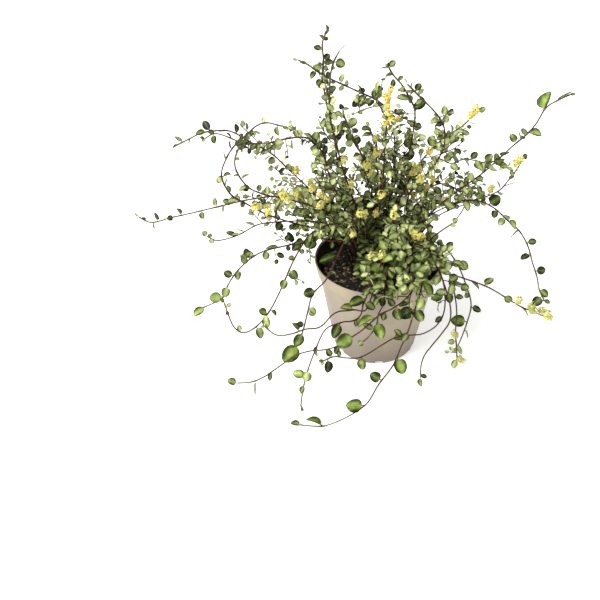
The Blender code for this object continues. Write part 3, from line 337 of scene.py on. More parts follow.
def pot_profile():
    """The pot's section as radius and height, from the middle of its base round the rim to its floor's."""
    step = POT_HEIGHT - COLLAR_DEPTH
    return [(0, 0), (BASE_RADIUS - FOOT_CHAMFER, 0), (pot_radius(FOOT_CHAMFER), FOOT_CHAMFER),
            (pot_radius(step), step), (pot_radius(step) + COLLAR_STEP, step + COLLAR_SLOPE),
            (RIM_RADIUS, POT_HEIGHT), (RIM_RADIUS - WALL, POT_HEIGHT),
            (pot_radius(step) + COLLAR_STEP - WALL, step + COLLAR_SLOPE + WALL / 2),
            (pot_radius(step) - WALL, step - WALL / 2),
            (pot_radius(BASE_THICKNESS) - WALL, BASE_THICKNESS), (0, BASE_THICKNESS)]


def in_crown(point):
    """Whether the front view shows a point in the oval of the crown."""
    return np.linalg.norm((shown([point])[0] - SHOOT_CENTRE) / SHOOT_REACH) < 1


def shoot_routes():
    """The crown's shoots, spread over the oval as seeds are in a sunflower, at well mixed depths."""
    routes = {}
    for index in range(SHOOTS):
        share = math.sqrt((index + 0.5) / SHOOTS)
        across = SHOOT_CENTRE[0] + SHOOT_REACH[0] * share * math.cos(index * GOLDEN_ANGLE)
        up = SHOOT_CENTRE[1] + SHOOT_REACH[1] * share * math.sin(index * GOLDEN_ANGLE)
        nearest, farthest = SHOOT_DEPTHS
        if up < BARE_SOIL[1]:
            farthest, nearest = SHOOT_FRONT
        depth = nearest + (farthest - nearest) * (index * GOLDEN_SHARE % 1)
        if across > BARE_SOIL[0] or up > BARE_SOIL[1]:
            routes[f"shoot_{len(routes) + 1:02d}"] = (SHOOT_LEAF, SHOOT_GAP, [seen(across, up, depth)])
    return routes


def stem_routes():
    """Every stem's leaf length, gap between leaves, and route."""
    routes = {name: (leaf, gap, [seen(*point) for point in route])
              for name, (leaf, gap, route) in RUNNERS.items()}
    back = {name: (leaf, gap, [np.array(point) for point in route])
            for name, (leaf, gap, route) in BACK_RUNNERS.items()}
    return routes | shoot_routes() | back


def root_spots(aims):
    """A spot on the soil for each stem: of an even spread, the free one nearest to where the stem heads."""
    spots = []
    for index in range(CROWN_SPOTS):
        radius = CROWN_RADIUS * math.sqrt((index + 0.5) / CROWN_SPOTS)
        spots.append(Vector((CROWN_CENTRE[0] + radius * math.cos(index * GOLDEN_ANGLE),
                             CROWN_CENTRE[1] + radius * math.sin(index * GOLDEN_ANGLE))))
    chosen = []
    for aim in aims:
        nearest = min(spots, key=lambda spot: (spot - Vector(aim[:2]) * AIM_SHARE).length)
        spots.remove(nearest)
        chosen.append(nearest)
    return chosen


def smooth_line(points):
    """A smooth curve through the points, read at even steps."""
    ends = [2 * points[0] - points[1], *points, 2 * points[-1] - points[-2]]
    fine = []
    for before, start, end, after in zip(ends, ends[1:], ends[2:], ends[3:]):
        pairs = ((before, start), (start, end), (end, after))
        gaps = [np.linalg.norm(far - near) ** 0.5 for near, far in pairs]
        leave = (start - before) / gaps[0] - (end - before) / (gaps[0] + gaps[1]) + (end - start) / gaps[1]
        arrive = (end - start) / gaps[1] - (after - start) / (gaps[1] + gaps[2]) + (after - end) / gaps[2]
        for share in np.linspace(0, 1, SPAN_READS, endpoint=False):
            bulge = leave * (share**3 - 2 * share**2 + share) + arrive * (share**3 - share**2)
            fine.append(start * (2 * share**3 - 3 * share**2 + 1) + end * (3 * share**2 - 2 * share**3)
                        + gaps[1] * bulge)
    fine = np.array(fine + [points[-1]])
    along = np.concatenate([[0], np.cumsum(np.linalg.norm(np.diff(fine, axis=0), axis=1))])
    reads = np.linspace(0, along[-1], max(4, round(along[-1] / STEM_STEP)))
    return np.stack([np.interp(reads, along, fine[:, axis]) for axis in range(3)], axis=1)


def stem_line(spot, route):
    """A stem's line, from the foot of its hole straight up out of the soil and then along its route."""
    foot = np.array([spot.x, spot.y, SOIL_LEVEL - ROOT_DEPTH])
    surface = np.array([spot.x, spot.y, SOIL_TOP])
    reach = route[0] - surface
    rise = surface + reach * RISE_SHARE + [0, 0, STEM_LIFT * np.linalg.norm(reach)]
    return np.concatenate([[foot, (foot + surface) / 2], smooth_line([surface, rise, *route])])


def clear_of_pot(points):
    """The points, each moved the shortest way clear of the pot's wall, the soil and the floor."""
    radius, height = np.hypot(points[:, 0], points[:, 1]), points[:, 2]
    wall = np.where(height > POT_HEIGHT - COLLAR_DEPTH - POT_CLEARANCE, RIM_RADIUS, pot_radius(height))
    outward = wall + POT_CLEARANCE - radius
    inward = radius - (wall - COLLAR_STEP - WALL - POT_CLEARANCE)
    ceiling = np.where(inward > 0, POT_HEIGHT + POT_CLEARANCE, SOIL_TOP)
    upward = ceiling - height
    stuck = (outward > 0) & (upward > 0)
    goes_in = stuck & (inward > 0) & (height > SOIL_TOP) & (inward < outward) & (inward < upward)
    goes_out = stuck & ~goes_in & (outward < upward)
    shift = np.where(goes_out, outward, 0) - np.where(goes_in, inward, 0)
    flat = points[:, :2] * (1 + shift / np.maximum(radius, 1))[:, None]
    height = np.where(stuck & ~goes_in & ~goes_out, ceiling, height)
    return np.column_stack([flat, np.maximum(height, FLOOR_CLEARANCE)])


def close_pairs(points, owner):
    """The pairs of points, on different stems, that are nearer than the stems may come."""
    tree = KDTree(len(points))
    for index, point in enumerate(points):
        tree.insert(point, index)
    tree.balance()
    pairs = [(index, other) for index, point in enumerate(points)
             for _, other, _ in tree.find_range(point, STEM_APART)
             if other > index and owner[other] != owner[index]]
    return np.array(pairs, int).reshape(-1, 2).T


def bend_clear(lines):
    """The stems' lines, bent apart where they would touch, with their feet held where they stand."""
    owner = np.concatenate([np.full(len(line), index) for index, line in enumerate(lines)])
    rank = np.concatenate([np.arange(len(line)) for line in lines])
    middle = np.flatnonzero((rank > 0) & (np.roll(rank, -1) > rank))
    loose = np.clip((rank - STRAIGHT_FOOT + 1) / 3, 0, 1)[:, None]
    points = np.concatenate(lines)
    for _ in range(CLEAR_ROUNDS):
        first, second = close_pairs(points, owner)
        if not len(first):
            break
        way = points[first] - points[second] + 1e-6
        distance = np.linalg.norm(way, axis=1, keepdims=True)
        way *= (STEM_APART - distance) / distance
        push = np.zeros_like(points)
        np.add.at(push, first, way)
        np.add.at(push, second, -way)
        push[middle] = (push[middle - 1] + push[middle] * 2 + push[middle + 1]) / 4
        points = np.where(loose > 0, clear_of_pot(points + push * loose), points)
        along = points[middle + 1] - points[middle - 1]
        along /= np.linalg.norm(along, axis=1, keepdims=True)
        slide = (points[middle - 1] + points[middle + 1]) / 2 - points[middle]
        points[middle] += along * (slide * along).sum(axis=1, keepdims=True) * loose[middle] / 2
    return np.split(points, np.flatnonzero(rank == 0)[1:])


def directions(line):
    """The unit direction at each point of a line."""
    steps = np.diff(line, axis=0)
    steps /= np.linalg.norm(steps, axis=1, keepdims=True)
    ways = np.vstack([steps[:1], steps[:-1] + steps[1:], steps[-1:]])
    return ways / np.linalg.norm(ways, axis=1, keepdims=True)


def bends(line, first, last):
    """The points between two of a line where it strays from the straight way between those kept."""
    if last - first < 2:
        return []
    chord = (line[last] - line[first]) / np.linalg.norm(line[last] - line[first])
    offsets = line[first + 1:last] - line[first]
    strays = np.linalg.norm(offsets - np.outer(offsets @ chord, chord), axis=1)
    if strays.max() < RING_SAG:
        return []
    worst = first + 1 + int(strays.argmax())
    return bends(line, first, worst) + [worst] + bends(line, worst, last)


def tube(line, radii, sides):
    """A tube's points and faces along a line, with flat ends."""
    points, faces = [], []
    aside = Vector(directions(line)[0]).orthogonal()
    for centre, way, radius in zip(line, directions(line), radii):
        aside = (aside - Vector(way) * aside.dot(way)).normalized()
        across = Vector(way).cross(aside)
        for angle in np.arange(sides) * math.tau / sides:
            points.append(Vector(centre) + (aside * math.cos(angle) + across * math.sin(angle)) * radius)
    for start in range(0, len(points) - sides, sides):
        faces += [(start + corner, start + (corner + 1) % sides, start + sides + (corner + 1) % sides,
                   start + sides + corner) for corner in range(sides)]
    return points, faces + [tuple(range(sides))[::-1], tuple(range(len(points) - sides, len(points)))]


def blade(length, thicker=0.0):
    """A leaf's points and faces, lying along +X from its root and folded up along its midrib."""
    width = length * LEAF_WIDTH + thicker * 2
    length += thicker
    half = [(along * length, aside * width) for along, aside in BLADE_OUTLINE]
    outline = [(0, 0), *half, (length, 0), *[(along, -aside) for along, aside in reversed(half)]]
    lift = BLADE_THICKNESS / 2 + thicker
    upper = [Vector((x, y, BLADE_FOLD * abs(y) + lift)) for x, y in outline]
    lower = [point - Vector((0, 0, lift * 2)) for point in upper]
    count, tip = len(outline), len(half) + 1
    fans = [(tip, index + 1, index) for index in range(tip - 1)]
    fans += [(tip, (index + 1) % count, index) for index in range(tip + 1, count)]
    faces = fans + [tuple(corner + count for corner in face[::-1]) for face in fans]
    faces += [(index, (index + 1) % count, (index + 1) % count + count, index + count)
              for index in range(count)]
    return upper + lower, faces


def straying(rng, most):
    """A random small way."""
    return Vector([rng.uniform(-most, most) for _ in range(3)])


def lying(point, along, face):
    """Where a leaf lies: rooted at a point, along a way, with its face as near to another as that allows."""
    side = face.cross(along).normalized()
    place = Matrix((along, side, along.cross(side))).transposed().to_4x4()
    place.translation = point
    return place


def placing(point, way, turn, lean, tilt):
    """Where a leaf lies: at a turn about the stem, leaning along it, with its face to the light."""
    way = Vector(way)
    aside = way.cross(Vector((0.1, 0.2, 1))).normalized()
    aside.rotate(Matrix.Rotation(turn, 3, way))
    return lying(point, aside * math.sin(lean) + way * math.cos(lean), LIGHT.normalized() + tilt)


def placing_seen(point, spot, length, share, nudge, tilt):
    """Where a leaf lies whose middle the front view shows at a spot, with that share of its breadth."""
    across, up = (spot - shown([point])[0]) * view_scale([point])[0]
    flat = VIEW_RIGHT * across + VIEW_UP * up
    nearer = math.sqrt(max(0, (length * LEAF_MIDDLE)**2 - flat.length_squared))
    along = ((flat + VIEW_NEAR * nearer).normalized() + nudge).normalized()
    toward = (VIEW_NEAR - along * VIEW_NEAR.dot(along)).normalized()
    edge = along.cross(toward)
    if edge.dot(LIGHT) < 0:
        edge.negate()
    return lying(point, along, toward * share + edge * math.sqrt(1 - share**2) + tilt)


class Stem:
    """A stem's line and the points of it that its form needs, with its leaves and flower spikes."""

    def __init__(self, name, leaf, gap, line):
        self.name = name
        self.leaf = leaf
        self.stride = max(1, round(gap / STEM_STEP))
        self.line = line
        self.kept = [0, STRAIGHT_FOOT - 1, *bends(line, STRAIGHT_FOOT - 1, len(line) - 1), len(line) - 1]
        self.ways = directions(line)
        self.leaves = []
        self.spikes = []

    def root(self, joint):
        """Where what grows at a joint starts, just before it on the line through the kept points."""
        kept = self.line[self.kept]
        return Vector([np.interp(joint - SETBACK, self.kept, kept[:, axis]) for axis in range(3)])

    def tube(self, thicker, sides):
        """The tube along the kept points of the stem's line."""
        radii = STEM_THICK + (STEM_THIN - STEM_THICK) * np.array(self.kept) / self.kept[-1] + thicker
        return tube(self.line[self.kept], radii, sides)


class Space:
    """What stands where, to try each new leaf against."""

    def __init__(self):
        self.centres = np.empty((0, 3))
        self.reaches = np.empty(0)
        self.held = []

    def surround(self, points):
        """The middle of some points, and their farthest reach from it."""
        spread = np.array(points)
        centre = (spread.min(0) + spread.max(0)) / 2
        return centre, np.linalg.norm(spread - centre, axis=1).max()

    def add(self, owner, points, faces):
        """Holds a shape that the next ones keep clear of."""
        centre, reach = self.surround(points)
        self.centres = np.vstack([self.centres, centre])
        self.reaches = np.append(self.reaches, reach)
        self.held.append((owner, BVHTree.FromPolygons(points, faces)))

    def clear(self, points, faces, apart_from):
        """Whether a shape is clear of the floor, the soil and all that is held, apart from one owner's."""
        if min(point.z for point in points) < FLOOR_CLEARANCE / 2:
            return False
        if any(math.hypot(point.x, point.y) < RIM_RADIUS and point.z < SOIL_TOP for point in points):
            return False
        centre, reach = self.surround(points)
        near = np.flatnonzero(np.linalg.norm(self.centres - centre, axis=1) < self.reaches + reach)
        tree = BVHTree.FromPolygons(points, faces)
        held = [shape for owner, shape in (self.held[index] for index in near) if owner != apart_from]
        return not any(shape.overlap(tree) for shape in held)


def turned_shell(profile, sides):
    """The points and faces of a profile turned about +Z."""
    points = [Vector((radius * math.cos(angle), radius * math.sin(angle), height))
              for angle in np.arange(sides) * math.tau / sides for radius, height in profile]
    rows, count = len(profile), len(points)
    faces = [(start + row, (start + rows + row) % count, (start + rows + row + 1) % count, start + row + 1)
             for start in range(0, count, rows) for row in range(rows - 1)]
    return points, faces


def add_spikes(stems, space):
    """Stands a flower spike for each spot on the stem that the front view shows nearest to it."""
    rng = random.Random(5)
    for spot in FLOWER_SPOTS:
        choices = []
        for stem in stems:
            joints = range(len(stem.line) // 3, len(stem.line) - 1, 2)
            away = np.linalg.norm(shown(stem.line[joints]) - spot, axis=1)
            choices.append((away.min(), stem.name, stem, joints[int(away.argmin())]))
        for _, _, stem, joint in sorted(choices)[:SPIKE_STEMS]:
            root, upright = stem.root(joint), Vector()
            tips = [placing(root, stem.ways[joint], rng.uniform(0, math.tau), SPIKE_LEAN, upright)
                    @ Vector((SPIKE_LENGTH, 0, 0)) for _ in range(SPIKE_TRIES)]
            tip = first_clear(tips, stem, joint, space)
            if tip is not None:
                stem.spikes.append((root, tip))
                break


def first_clear(tips, stem, joint, space):
    """The highest tip whose spike is clear of all but its own stem."""
    root = stem.root(joint)
    for tip in sorted(tips, key=lambda tip: -tip.z):
        line = np.array([root, root.lerp(tip, 0.4), tip])
        body = tube(line, [MARGIN, *[FLORET_RADIUS + MARGIN] * 2], SPIKE_SIDES)
        if space.clear(*body, stem.name):
            space.add(stem.name + "_spike", *body)
            return tip
    return None


def settle(stem, joint, place, length, space):
    """Sets a leaf at its place if it is clear of all that is there, and says whether it is."""
    points, faces = blade(length, MARGIN)
    points = [place @ point for point in points]
    fits = space.clear(points, faces, stem.name)
    if fits:
        space.add(stem.name + "_leaf", points, faces)
        stem.leaves.append((place, length, joint))
    return fits


def best_joint(stem, spot, reach):
    """How far a stem's best joint is from standing a reach off a spot of the front view, and that joint."""
    joints = np.arange(STRAIGHT_FOOT + 3, len(stem.line))
    offsets = spot - shown(stem.line[joints])
    onward = shown(stem.line[joints] + stem.ways[joints]) - shown(stem.line[joints])
    behind = np.maximum(0, -(offsets * onward).sum(axis=1))
    misses = np.abs(np.linalg.norm(offsets, axis=1) - reach) + behind * BEHIND_COST
    return misses.min(), joints[misses.argmin()]


def each_of(leaves):
    """Each listed leaf's length, place in the front view, and share of its breadth that is turned to it."""
    for length, places in leaves:
        for across, up, *share in places:
            yield length, (across, up), share[0] if share else 1


def add_seen_leaves(stems, space, leaves):
    """Sets each leaf that the front view shows, on the joint that stands best for it."""
    rng = random.Random(3)
    for length, spot, share in each_of(leaves):
        choices = sorted((*best_joint(stem, spot, length * LEAF_MIDDLE), stem.name, stem) for stem in stems)
        for miss, joint, _, stem in choices[:SEEN_STEMS]:
            root = stem.root(joint)
            size = length * view_scale([stem.line[joint]])[0]
            places = (placing_seen(root, spot, size, share, straying(rng, nudge), straying(rng, SEEN_TILT))
                      for nudge in NUDGES)
            if miss < SEEN_MISS and any(settle(stem, joint, place, size, space) for place in places):
                break


def add_leaves(stem, joints, space, rng, sway=MAIN_SWAY):
    """Sets a leaf at each joint where one fits, turned or made smaller where it would touch something."""
    last = len(stem.line) - 1
    for joint in joints:
        share = joint / last
        length = stem.leaf * rng.uniform(*LEAF_SIZES) * (1 - TIP_SHRINK * max(0, share - TIP_FROM) / TIP_SPAN)
        lean = math.radians(rng.uniform(*LEANS) if joint < last else TIP_LEAN)
        tilt = straying(rng, sway)
        start = joint * GOLDEN_ANGLE + rng.uniform(-TURN_SWAY, TURN_SWAY)
        for turn, shrink in TURNS_TRIED:
            place = placing(stem.root(joint), stem.ways[joint], start + turn, lean, tilt)
            if settle(stem, joint, place, length * shrink, space):
                break


def spacing(name):
    """How many of a stem's leaf gaps lie between two of its leaves that nothing in the front view places."""
    if name in RUNNERS:
        return RUNNER_EVERY
    return BACK_EVERY if name in BACK_RUNNERS else SHOOT_EVERY


def grow():
    """The stems, bent clear of each other, with their flower spikes and main leaves, and their space."""
    routes = stem_routes()
    spots = root_spots([route[0] for _, _, route in routes.values()])
    lines = bend_clear([stem_line(spot, route) for spot, (_, _, route) in zip(spots, routes.values())])
    stems = [Stem(name, leaf, gap, line) for (name, (leaf, gap, _)), line in zip(routes.items(), lines)]
    space = Space()
    space.add("pot", *turned_shell(pot_profile(), POT_SIDES))
    for stem in stems:
        space.add(stem.name, *stem.tube(MARGIN, SPACE_SIDES))
    add_spikes(stems, space)
    add_seen_leaves([stem for stem in stems if stem.name not in BACK_RUNNERS], space, SEEN_LEAVES)
    for stem in stems:
        last = len(stem.line) - 1
        joints = [joint for joint in range(last, STRAIGHT_FOOT + 2, -stem.stride * spacing(stem.name))
                  if stem.name not in RUNNERS or joint == last or in_crown(stem.line[joint])]
        taken = [joint for _, _, joint in stem.leaves]
        joints = [joint for joint in joints if all(abs(joint - other) > KEPT_OFF for other in taken)]
        add_leaves(stem, joints, space, random.Random(stem.name))
    return stems, space


# The finer bark: its radii, in millimetres, and its age, from 0 at a stem's foot to 1 at its tip
BARK_THICK = 0.6
BARK_THIN = 0.55
TWIG_THICK = 0.38
TWIG_THIN = 0.26
TWIG_AGE = 0.5
SPIKE_THICK = 0.4
SPIKE_THIN = 0.3
SPIKE_AGE = 0.95
JOINT_SWELL = 1.25
SPIKE_READS = 5

# The fine side twigs: their steps, tries and chance, how they grow, and the depths that the seen ones try
TWIG_STEPS = (4, 7)
TWIG_TRIES = 6
TWIG_LUCK = 0.95
TWIG_RISE = 0.08
TWIG_STRAY = 0.2
TWIGS_TO = 0.88
TWIGS_OVER_SOIL = 5.0
TWIG_REACH = 5.0
TWIG_DRIFTS = (0, -4, 4, -9, 9, -15, 15)

# The leaves that the scene adds
TWIG_LEAF = 6.2
TIP_LEAF = 4.0
YOUNG_LEANS = (20, 50)
YOUNG_TILT = 0.4
YOUNG_SIZES = (0.7, 1.1)
WIDTHS = (0.88, 1.08)
LEAF_SWAY = 1.3
APRON_SWAY = 0.7
APRON_GROWTH = 1.45
MORE_LEAVES_LUCK = 0.6

# The ovals of the front view, each by its centre and reach, where the plant is bushy, where leaves hang over
# the rim, and where it stays open
BUSHY = ((0, 66), (101, 84))
BUSHY_MIDDLE = 1.9
BUSHY_FALL = 1.3
APRON = ((24, -8), (34, 28))
OPEN_SPOTS = (
    ((-34, -6), (20, 22)), ((54, 26), (9, 14)), ((71, 35), (12, 8)), ((92, 33), (9, 6)), ((70, 3), (12, 6)),
    ((-17, 150), (12, 12)), ((51, 131), (12, 12)), ((-61, 147), (12, 12)), ((-23, 132), (7, 6)),
    ((117, 43), (16, 7)), ((57, 17), (12, 7)), ((80, 1), (8, 6)), ((-59, 127), (13, 8)),
    ((-31, 136), (8, 6)), ((100, 95), (9, 8)), ((114, 85), (8, 9)), ((-67, 76), (8, 7)),
    ((-24, 84), (9, 12)), ((-74, 27), (8, 6)), ((-94, 20), (9, 6)), ((50, 20), (7, 8)),
    ((27, 164), (14, 14)))
TWIGGY = 0.4
SPARSE = 0.15
SPARSE_BELOW = 8.0

# The side twigs that the front view shows, each by its leaf length and the places that it passes
SEEN_TWIGS = (
    (8.0, ((62, 77), (70, 80), (79, 80), (88, 78), (96, 79), (104, 76), (111, 71))),
    (7.0, ((64, 99), (70, 105), (76, 107))), (7.0, ((58, 90), (64, 95), (71, 96))),
    (8.0, ((24, 119), (19, 125))), (5.5, ((-2, 125), (-12, 122), (-20, 118))), (7.5, ((-84, -3),)),
    (6.5, ((-62, -21),)), (7.5, ((-112, 2),)), (6.5, ((82, 59), (88, 60))), (6.5, ((48, 102), (49, 109))),
    (7.0, ((60, -80),)), (6.0, ((3, 141), (4, 147))), (7.0, ((61, 84), (66, 89), (72, 87))),
    (7.0, ((52, -38), (50, -44))))

# Ovals of the front view where the leaves are paler, or darker, and by how much
TONE_SPOTS = (
    (((-140, -38), (16, 16)), 0.18), (((-96, -58), (12, 12)), 0.18), (((-70, 58), (26, 18)), 0.18),
    (((-66, -97), (9, 9)), 0.18), (((76, 122), (16, 14)), 0.18), (((0, 116), (44, 30)), -0.03),
    (((-50, 165), (22, 34)), -0.03), (((-114, 92), (14, 10)), -0.15), (((21, -90), (15, 15)), -0.2),
    (((-51, 92), (13, 15)), -0.22))

# How pale the leaves are, from 0 to 1, in the open and what the bushy parts add, and by how much they differ
PLAIN_TONE = 0.475
BUSHY_TONE = 0.175
PLAIN_SPREAD = 0.1
BUSHY_SPREAD = 0.12
APRON_TONE = (0.71, 0.12)

# From what length a leaf is grown, how pale grown and young ones are at most, the lengths between which a
# leaf gets a fresher green, what that takes from its paleness, and where along which stems leaves are paler
GROWN_LEAF = 7.0
GROWN_TONE = 0.79
YOUNG_TONE = 0.95
FRESH_FROM = 8.0
FRESH_TO = 14.0
FRESH_DROP = 0.2
YOUNG_FROM = 0.65
YOUNG_LIFT = 0.15
YOUNG_STEMS = ("right_pink", "right_yellow", "left_yellow", "right_tail_yellow")

# The finer pot and soil: the sizes and heights of the soil's lumps, and the crumbs that lie on it
FINE_SIDES = 96
NOTCH_BEVEL = 0.8
POT_SMOOTH = math.radians(28)
SOIL_CUTS = 4
SOIL_LUMPS = ((14, 5), (4, 3), (1.3, 1.4))
CRUMBS = 800
CRUMB_STRETCHES = ((1, 0.9, 0.8), (1.4, 0.9, 0.35), (2.2, 0.5, 0.45))
CRUMB_ROUGHNESS = 0.4
CRUMB_REACH = 1.5
CRUMB_LIFT = 0.15
CRUMB_SMALLEST = 0.45
CRUMB_SPREAD = 1.6
CRUMB_POWER = 2.5
CRUMB_LEAN = 0.5

# More places in the front view for flower spikes
MORE_FLOWER_SPOTS = [
    (9, 38), (5, 43), (13, 36), (30, 23), (34, 12), (37, 15), (-3, 2), (1, 4), (-10, 32), (-6, 35),
    (-21, 12), (29, 67), (29, 62), (47, 54), (50, 57), (38, 64), (85, 120), (-107, -12), (-72, 63),
    (-51, 58), (-76, 45), (-89, 38), (-65, 72), (-31, 72), (-19, 55), (12, 139), (12, 132), (10, 126),
    (9, 120), (7, 114), (8, 108), (-6, 84), (-5, 72), (40, 90), (93, 60), (122, 81), (136, -48), (60, -89),
    (-48, 36), (78, 116), (128, -45), (-60, 72), (-67, 53), (-40, 47), (-5, 92), (-6, 64), (34, 47),
    (-83, 60), (-54, 52), (-66, 17), (-100, 36), (121, -42), (133, -50), (140, -47), (65, -73)]

# How near a spot a spike's joint must be, on how many joints and how often it is tried, and the room that
# leaves leave before it
NEAR_SPOT = 6
NEAR_STEMS = 5
NEAR_TRIES = 8
SIGHT_RADIUS = 2.4
SIGHT_LENGTH = 45.0

# The florets of a spike: where along it they begin and for how far they go on, how far out they stand, how
# much each looks along the spike, and their sizes
FLORETS_SHOWN = 30
FLORETS_FROM = 0.25
FLORETS_RUN = 0.85
FLORETS_OUT = (0.6, 2.6)
FLORETS_UP = 0.7
FLORET_SIZES = (0.7, 1.1)

# A floret's petals, how ripe the florets are, and the ovals of the front view where they are riper
PETALS = 5
PETAL_REACH = 1.25
PETAL_RISE = 0.7
PETAL_WAIST = 0.62
PETAL_THICKNESS = 0.3
PETAL_SMOOTH = math.radians(70)
RIPE = 0.38
HALF_RIPE = 0.25
UNRIPE = 0.3
RIPE_SPREAD = 0.4
RIPE_SLIM = 0.6
RIPE_FLOWERS = (((10, 122), (9, 26)), ((49, 55), (7, 7)))

# The smaller leaves that the front view shows, given as the larger ones are
MORE_LEAVES = (
    (11, ((-10, -31, 0.6),)), (9, ((-39, 100, 0.9), (-41, 60), (46, 112), (3, 87, 0.8), (-12, 101, 0.8),
    (13, -12, 0.8), (22, 8), (46, -10), (50, -34), (40, -20), (-16, -17, 0.9))), (8, ((62, 11), (87, 65),
    (80, 44, 0.9), (100, 62, 0.4), (85, 52, 0.6), (-36, 129), (-66, 105, 0.9), (-71, 91, 0.4), (-90, 78),
    (-83, 68, 0.7), (-92, 58, 0.7), (-68, 36), (-61, 23), (-48, 23, 0.7), (37, 132, 0.4), (-7, 126, 0.9),
    (3, 124, 0.7), (-46, 86), (-38, 85, 0.9), (-29, 88, 0.6), (-30, 81), (-60, 44, 0.9), (51, 111, 0.9),
    (55, 103), (-29, 111, 0.9), (-8, 98, 0.7), (-5, 86, 0.9), (-5, 80, 0.9), (-2, 87, 0.7), (10, 88),
    (12, 115, 0.7), (5, 108, 0.6), (7, -22), (7, -12), (15, 7, 0.9), (7, 8, 0.9), (4, 14), (34, -22, 0.9),
    (35, 24), (0, -13, 0.7))), (7, ((-110, 95), (-104, 91), (-126, 62, 0.5), (-146, 32, 0.7),
    (-165, 37, 0.7), (-112, 50, 0.3), (-118, 18, 0.5), (59, -72), (68, -34), (-40, 168), (-65, 162, 0.5),
    (6, 140), (4, 147), (7, 150, 0.9), (3, 157, 0.7), (-76, 85, 0.7), (-90, 91), (-89, 85, 0.7), (-98, 60),
    (-72, 20), (-69, 76, 0.9), (-53, 84), (-50, 94), (40, 100), (33, 108), (25, 113), (55, 98, 0.9),
    (-19, 82), (-3, 102), (-15, 135, 0.9), (6, 96), (-41, 119), (47, 7), (26, -4, 0.9))), (6, ((-139, 102),
    (-117, 94), (-170, 91, 0.8), (-129, 37, 0.8), (-174, 31), (-186, 25, 0.6), (-122, -40, 0.6),
    (-115, -59), (-65, -25), (-73, -2), (-138, 12, 0.8), (39, -100), (73, -33), (141, -38), (126, -41, 0.8),
    (67, 116), (99, 84), (89, 86, 0.6), (113, 67, 0.8), (-47, 183, 0.8), (-41, 188, 0.8), (-59, 161, 0.6),
    (-42, 136), (-30, 128), (-25, 124, 0.4), (20, 149, 0.8), (-75, 106, 0.6), (-95, 93), (-72, 55, 0.8),
    (-91, 32), (-95, 45), (75, 53), (-40, 92), (-55, 42), (43, 110), (35, 92), (59, 94), (-25, 108, 0.8),
    (-30, 100), (-13, 83), (-11, 82), (-6, 90, 0.8), (22, 97), (1, 98, 0.8), (-30, 118, 0.8), (20, 21),
    (-38, 8), (-38, 2))), (5, ((-171, 93, 0.7), (-157, 95, 0.5), (-195, 32, 0.7), (-113, 42),
    (-122, 21, 0.7), (-119, 67, 0.7), (-116, 88, 0.7), (-75, 1), (-61, 2), (-141, 18), (-141, 14, 0.7),
    (-40, 182), (-35, 145), (-40, 122), (-96, 85), (-77, 54), (-14, 88), (-8, 108), (-25, 123, 0.7),
    (6, 84), (14, 18))), (4, ((-200, 32, 0.6), (-125, -46), (110, 32), (-71, 82), (-73, 78, 0.9),
    (-60, 92, 0.9), (16, 15))), (8, ((-1, 137, 0.9), (0, 126, 0.8))), (7, ((2, 115),)), (9, ((20, 132),)),
    (8, ((22, 113, 0.8), (28, 112))), (7, ((35, 108),)), (8, ((-21, 109), (-17, 114, 0.9))),
    (7, ((-14, 107), (-25, 112, 0.8), (-18, 120, 0.8))), (8, ((-17, -9),)), (5, ((-24, -19, 0.6),
    (-36, -14, 0.7))), (6, ((-13, -22, 0.8),)), (8, ((-58, -30),)), (7, ((-51, -49), (-69, -57),
    (-82, -51, 0.7))), (6, ((-81, -5),)), (8, ((-73, 17),)), (9, ((-92, 7),)), (7, ((-93, 0), (-108, 1))),
    (8, ((-113, 4), (-116, -15))), (10, ((-12, -57, 0.6),)), (7, ((5, -51, 0.9),)), (6, ((-18, -56),)),
    (7, ((-40, -78), (-34, -77))))

# A leaf's columns along it, in shares of its length: its stalk ends at the second
LEAF_COLUMNS = (0.0, 0.15, 0.22, 0.36, 0.55, 0.75, 0.91, 1.0)
LEAF_THICKNESS = 0.3
LEAF_UNIT = 10.0
LEAF_SMOOTH = math.radians(60)

# The slant of a leaf's side veins, and how fast they follow each other along it, in radians for its length
VEIN_SLANT = 0.55
VEIN_RATE = 42.0

# Each leaf shape's half widths at its columns, in shares of its length, its fold up and how far its tip hangs
LEAF_SHAPES = {
    "round_leaf": ((0.03, 0.03, 0.23, 0.36, 0.39, 0.33, 0.19, 0.03), 0.22, 0.1),
    "oval_leaf": ((0.03, 0.03, 0.17, 0.29, 0.33, 0.28, 0.16, 0.02), 0.3, 0.16),
    "broad_leaf": ((0.03, 0.03, 0.27, 0.38, 0.39, 0.34, 0.2, 0.06), 0.12, 0.04),
    "folded_leaf": ((0.03, 0.03, 0.2, 0.31, 0.34, 0.28, 0.15, 0.02), 0.6, 0.22),
}

# Colours from dark to pale, each with its place from 0 to 1
SOIL_SHADES = ((0.35, "080504"), (0.55, "1a120e"), (0.8, "4d3b2b"))
CHIP_SHADES = ((0.28, "0d0907"), (0.45, "3b2a1f"), (0.58, "867a58"), (0.72, "c4bc98"))
UPPER_SHADES = ((0.0, "0b0f05"), (0.28, "2d3416"), (0.48, "616d37"), (0.66, "96a164"), (0.82, "c1c88a"),
                (1.0, "e1e3b2"))
LOWER_SHADES = ((0.0, "2c3a1c"), (0.4, "6f7d50"), (0.75, "aab27d"), (1.0, "cfcf98"))

# The studio light
LAMP_WAY = Vector((-0.75, -0.5, 1.0))
LAMP_POWER = 3.7
LAMP_BREADTH = math.radians(30)
ROOM_POWER = 0.5


def linear(colour):
    """A colour as the shader takes it, from one given as it looks on a screen."""
    return (*[((value / 255 + 0.055) / 1.055) ** 2.4 for value in bytes.fromhex(colour)], 1)


def per_mm(size):
    """The scale of a pattern whose marks are so many millimetres apart."""
    return 1 / (size * MM)


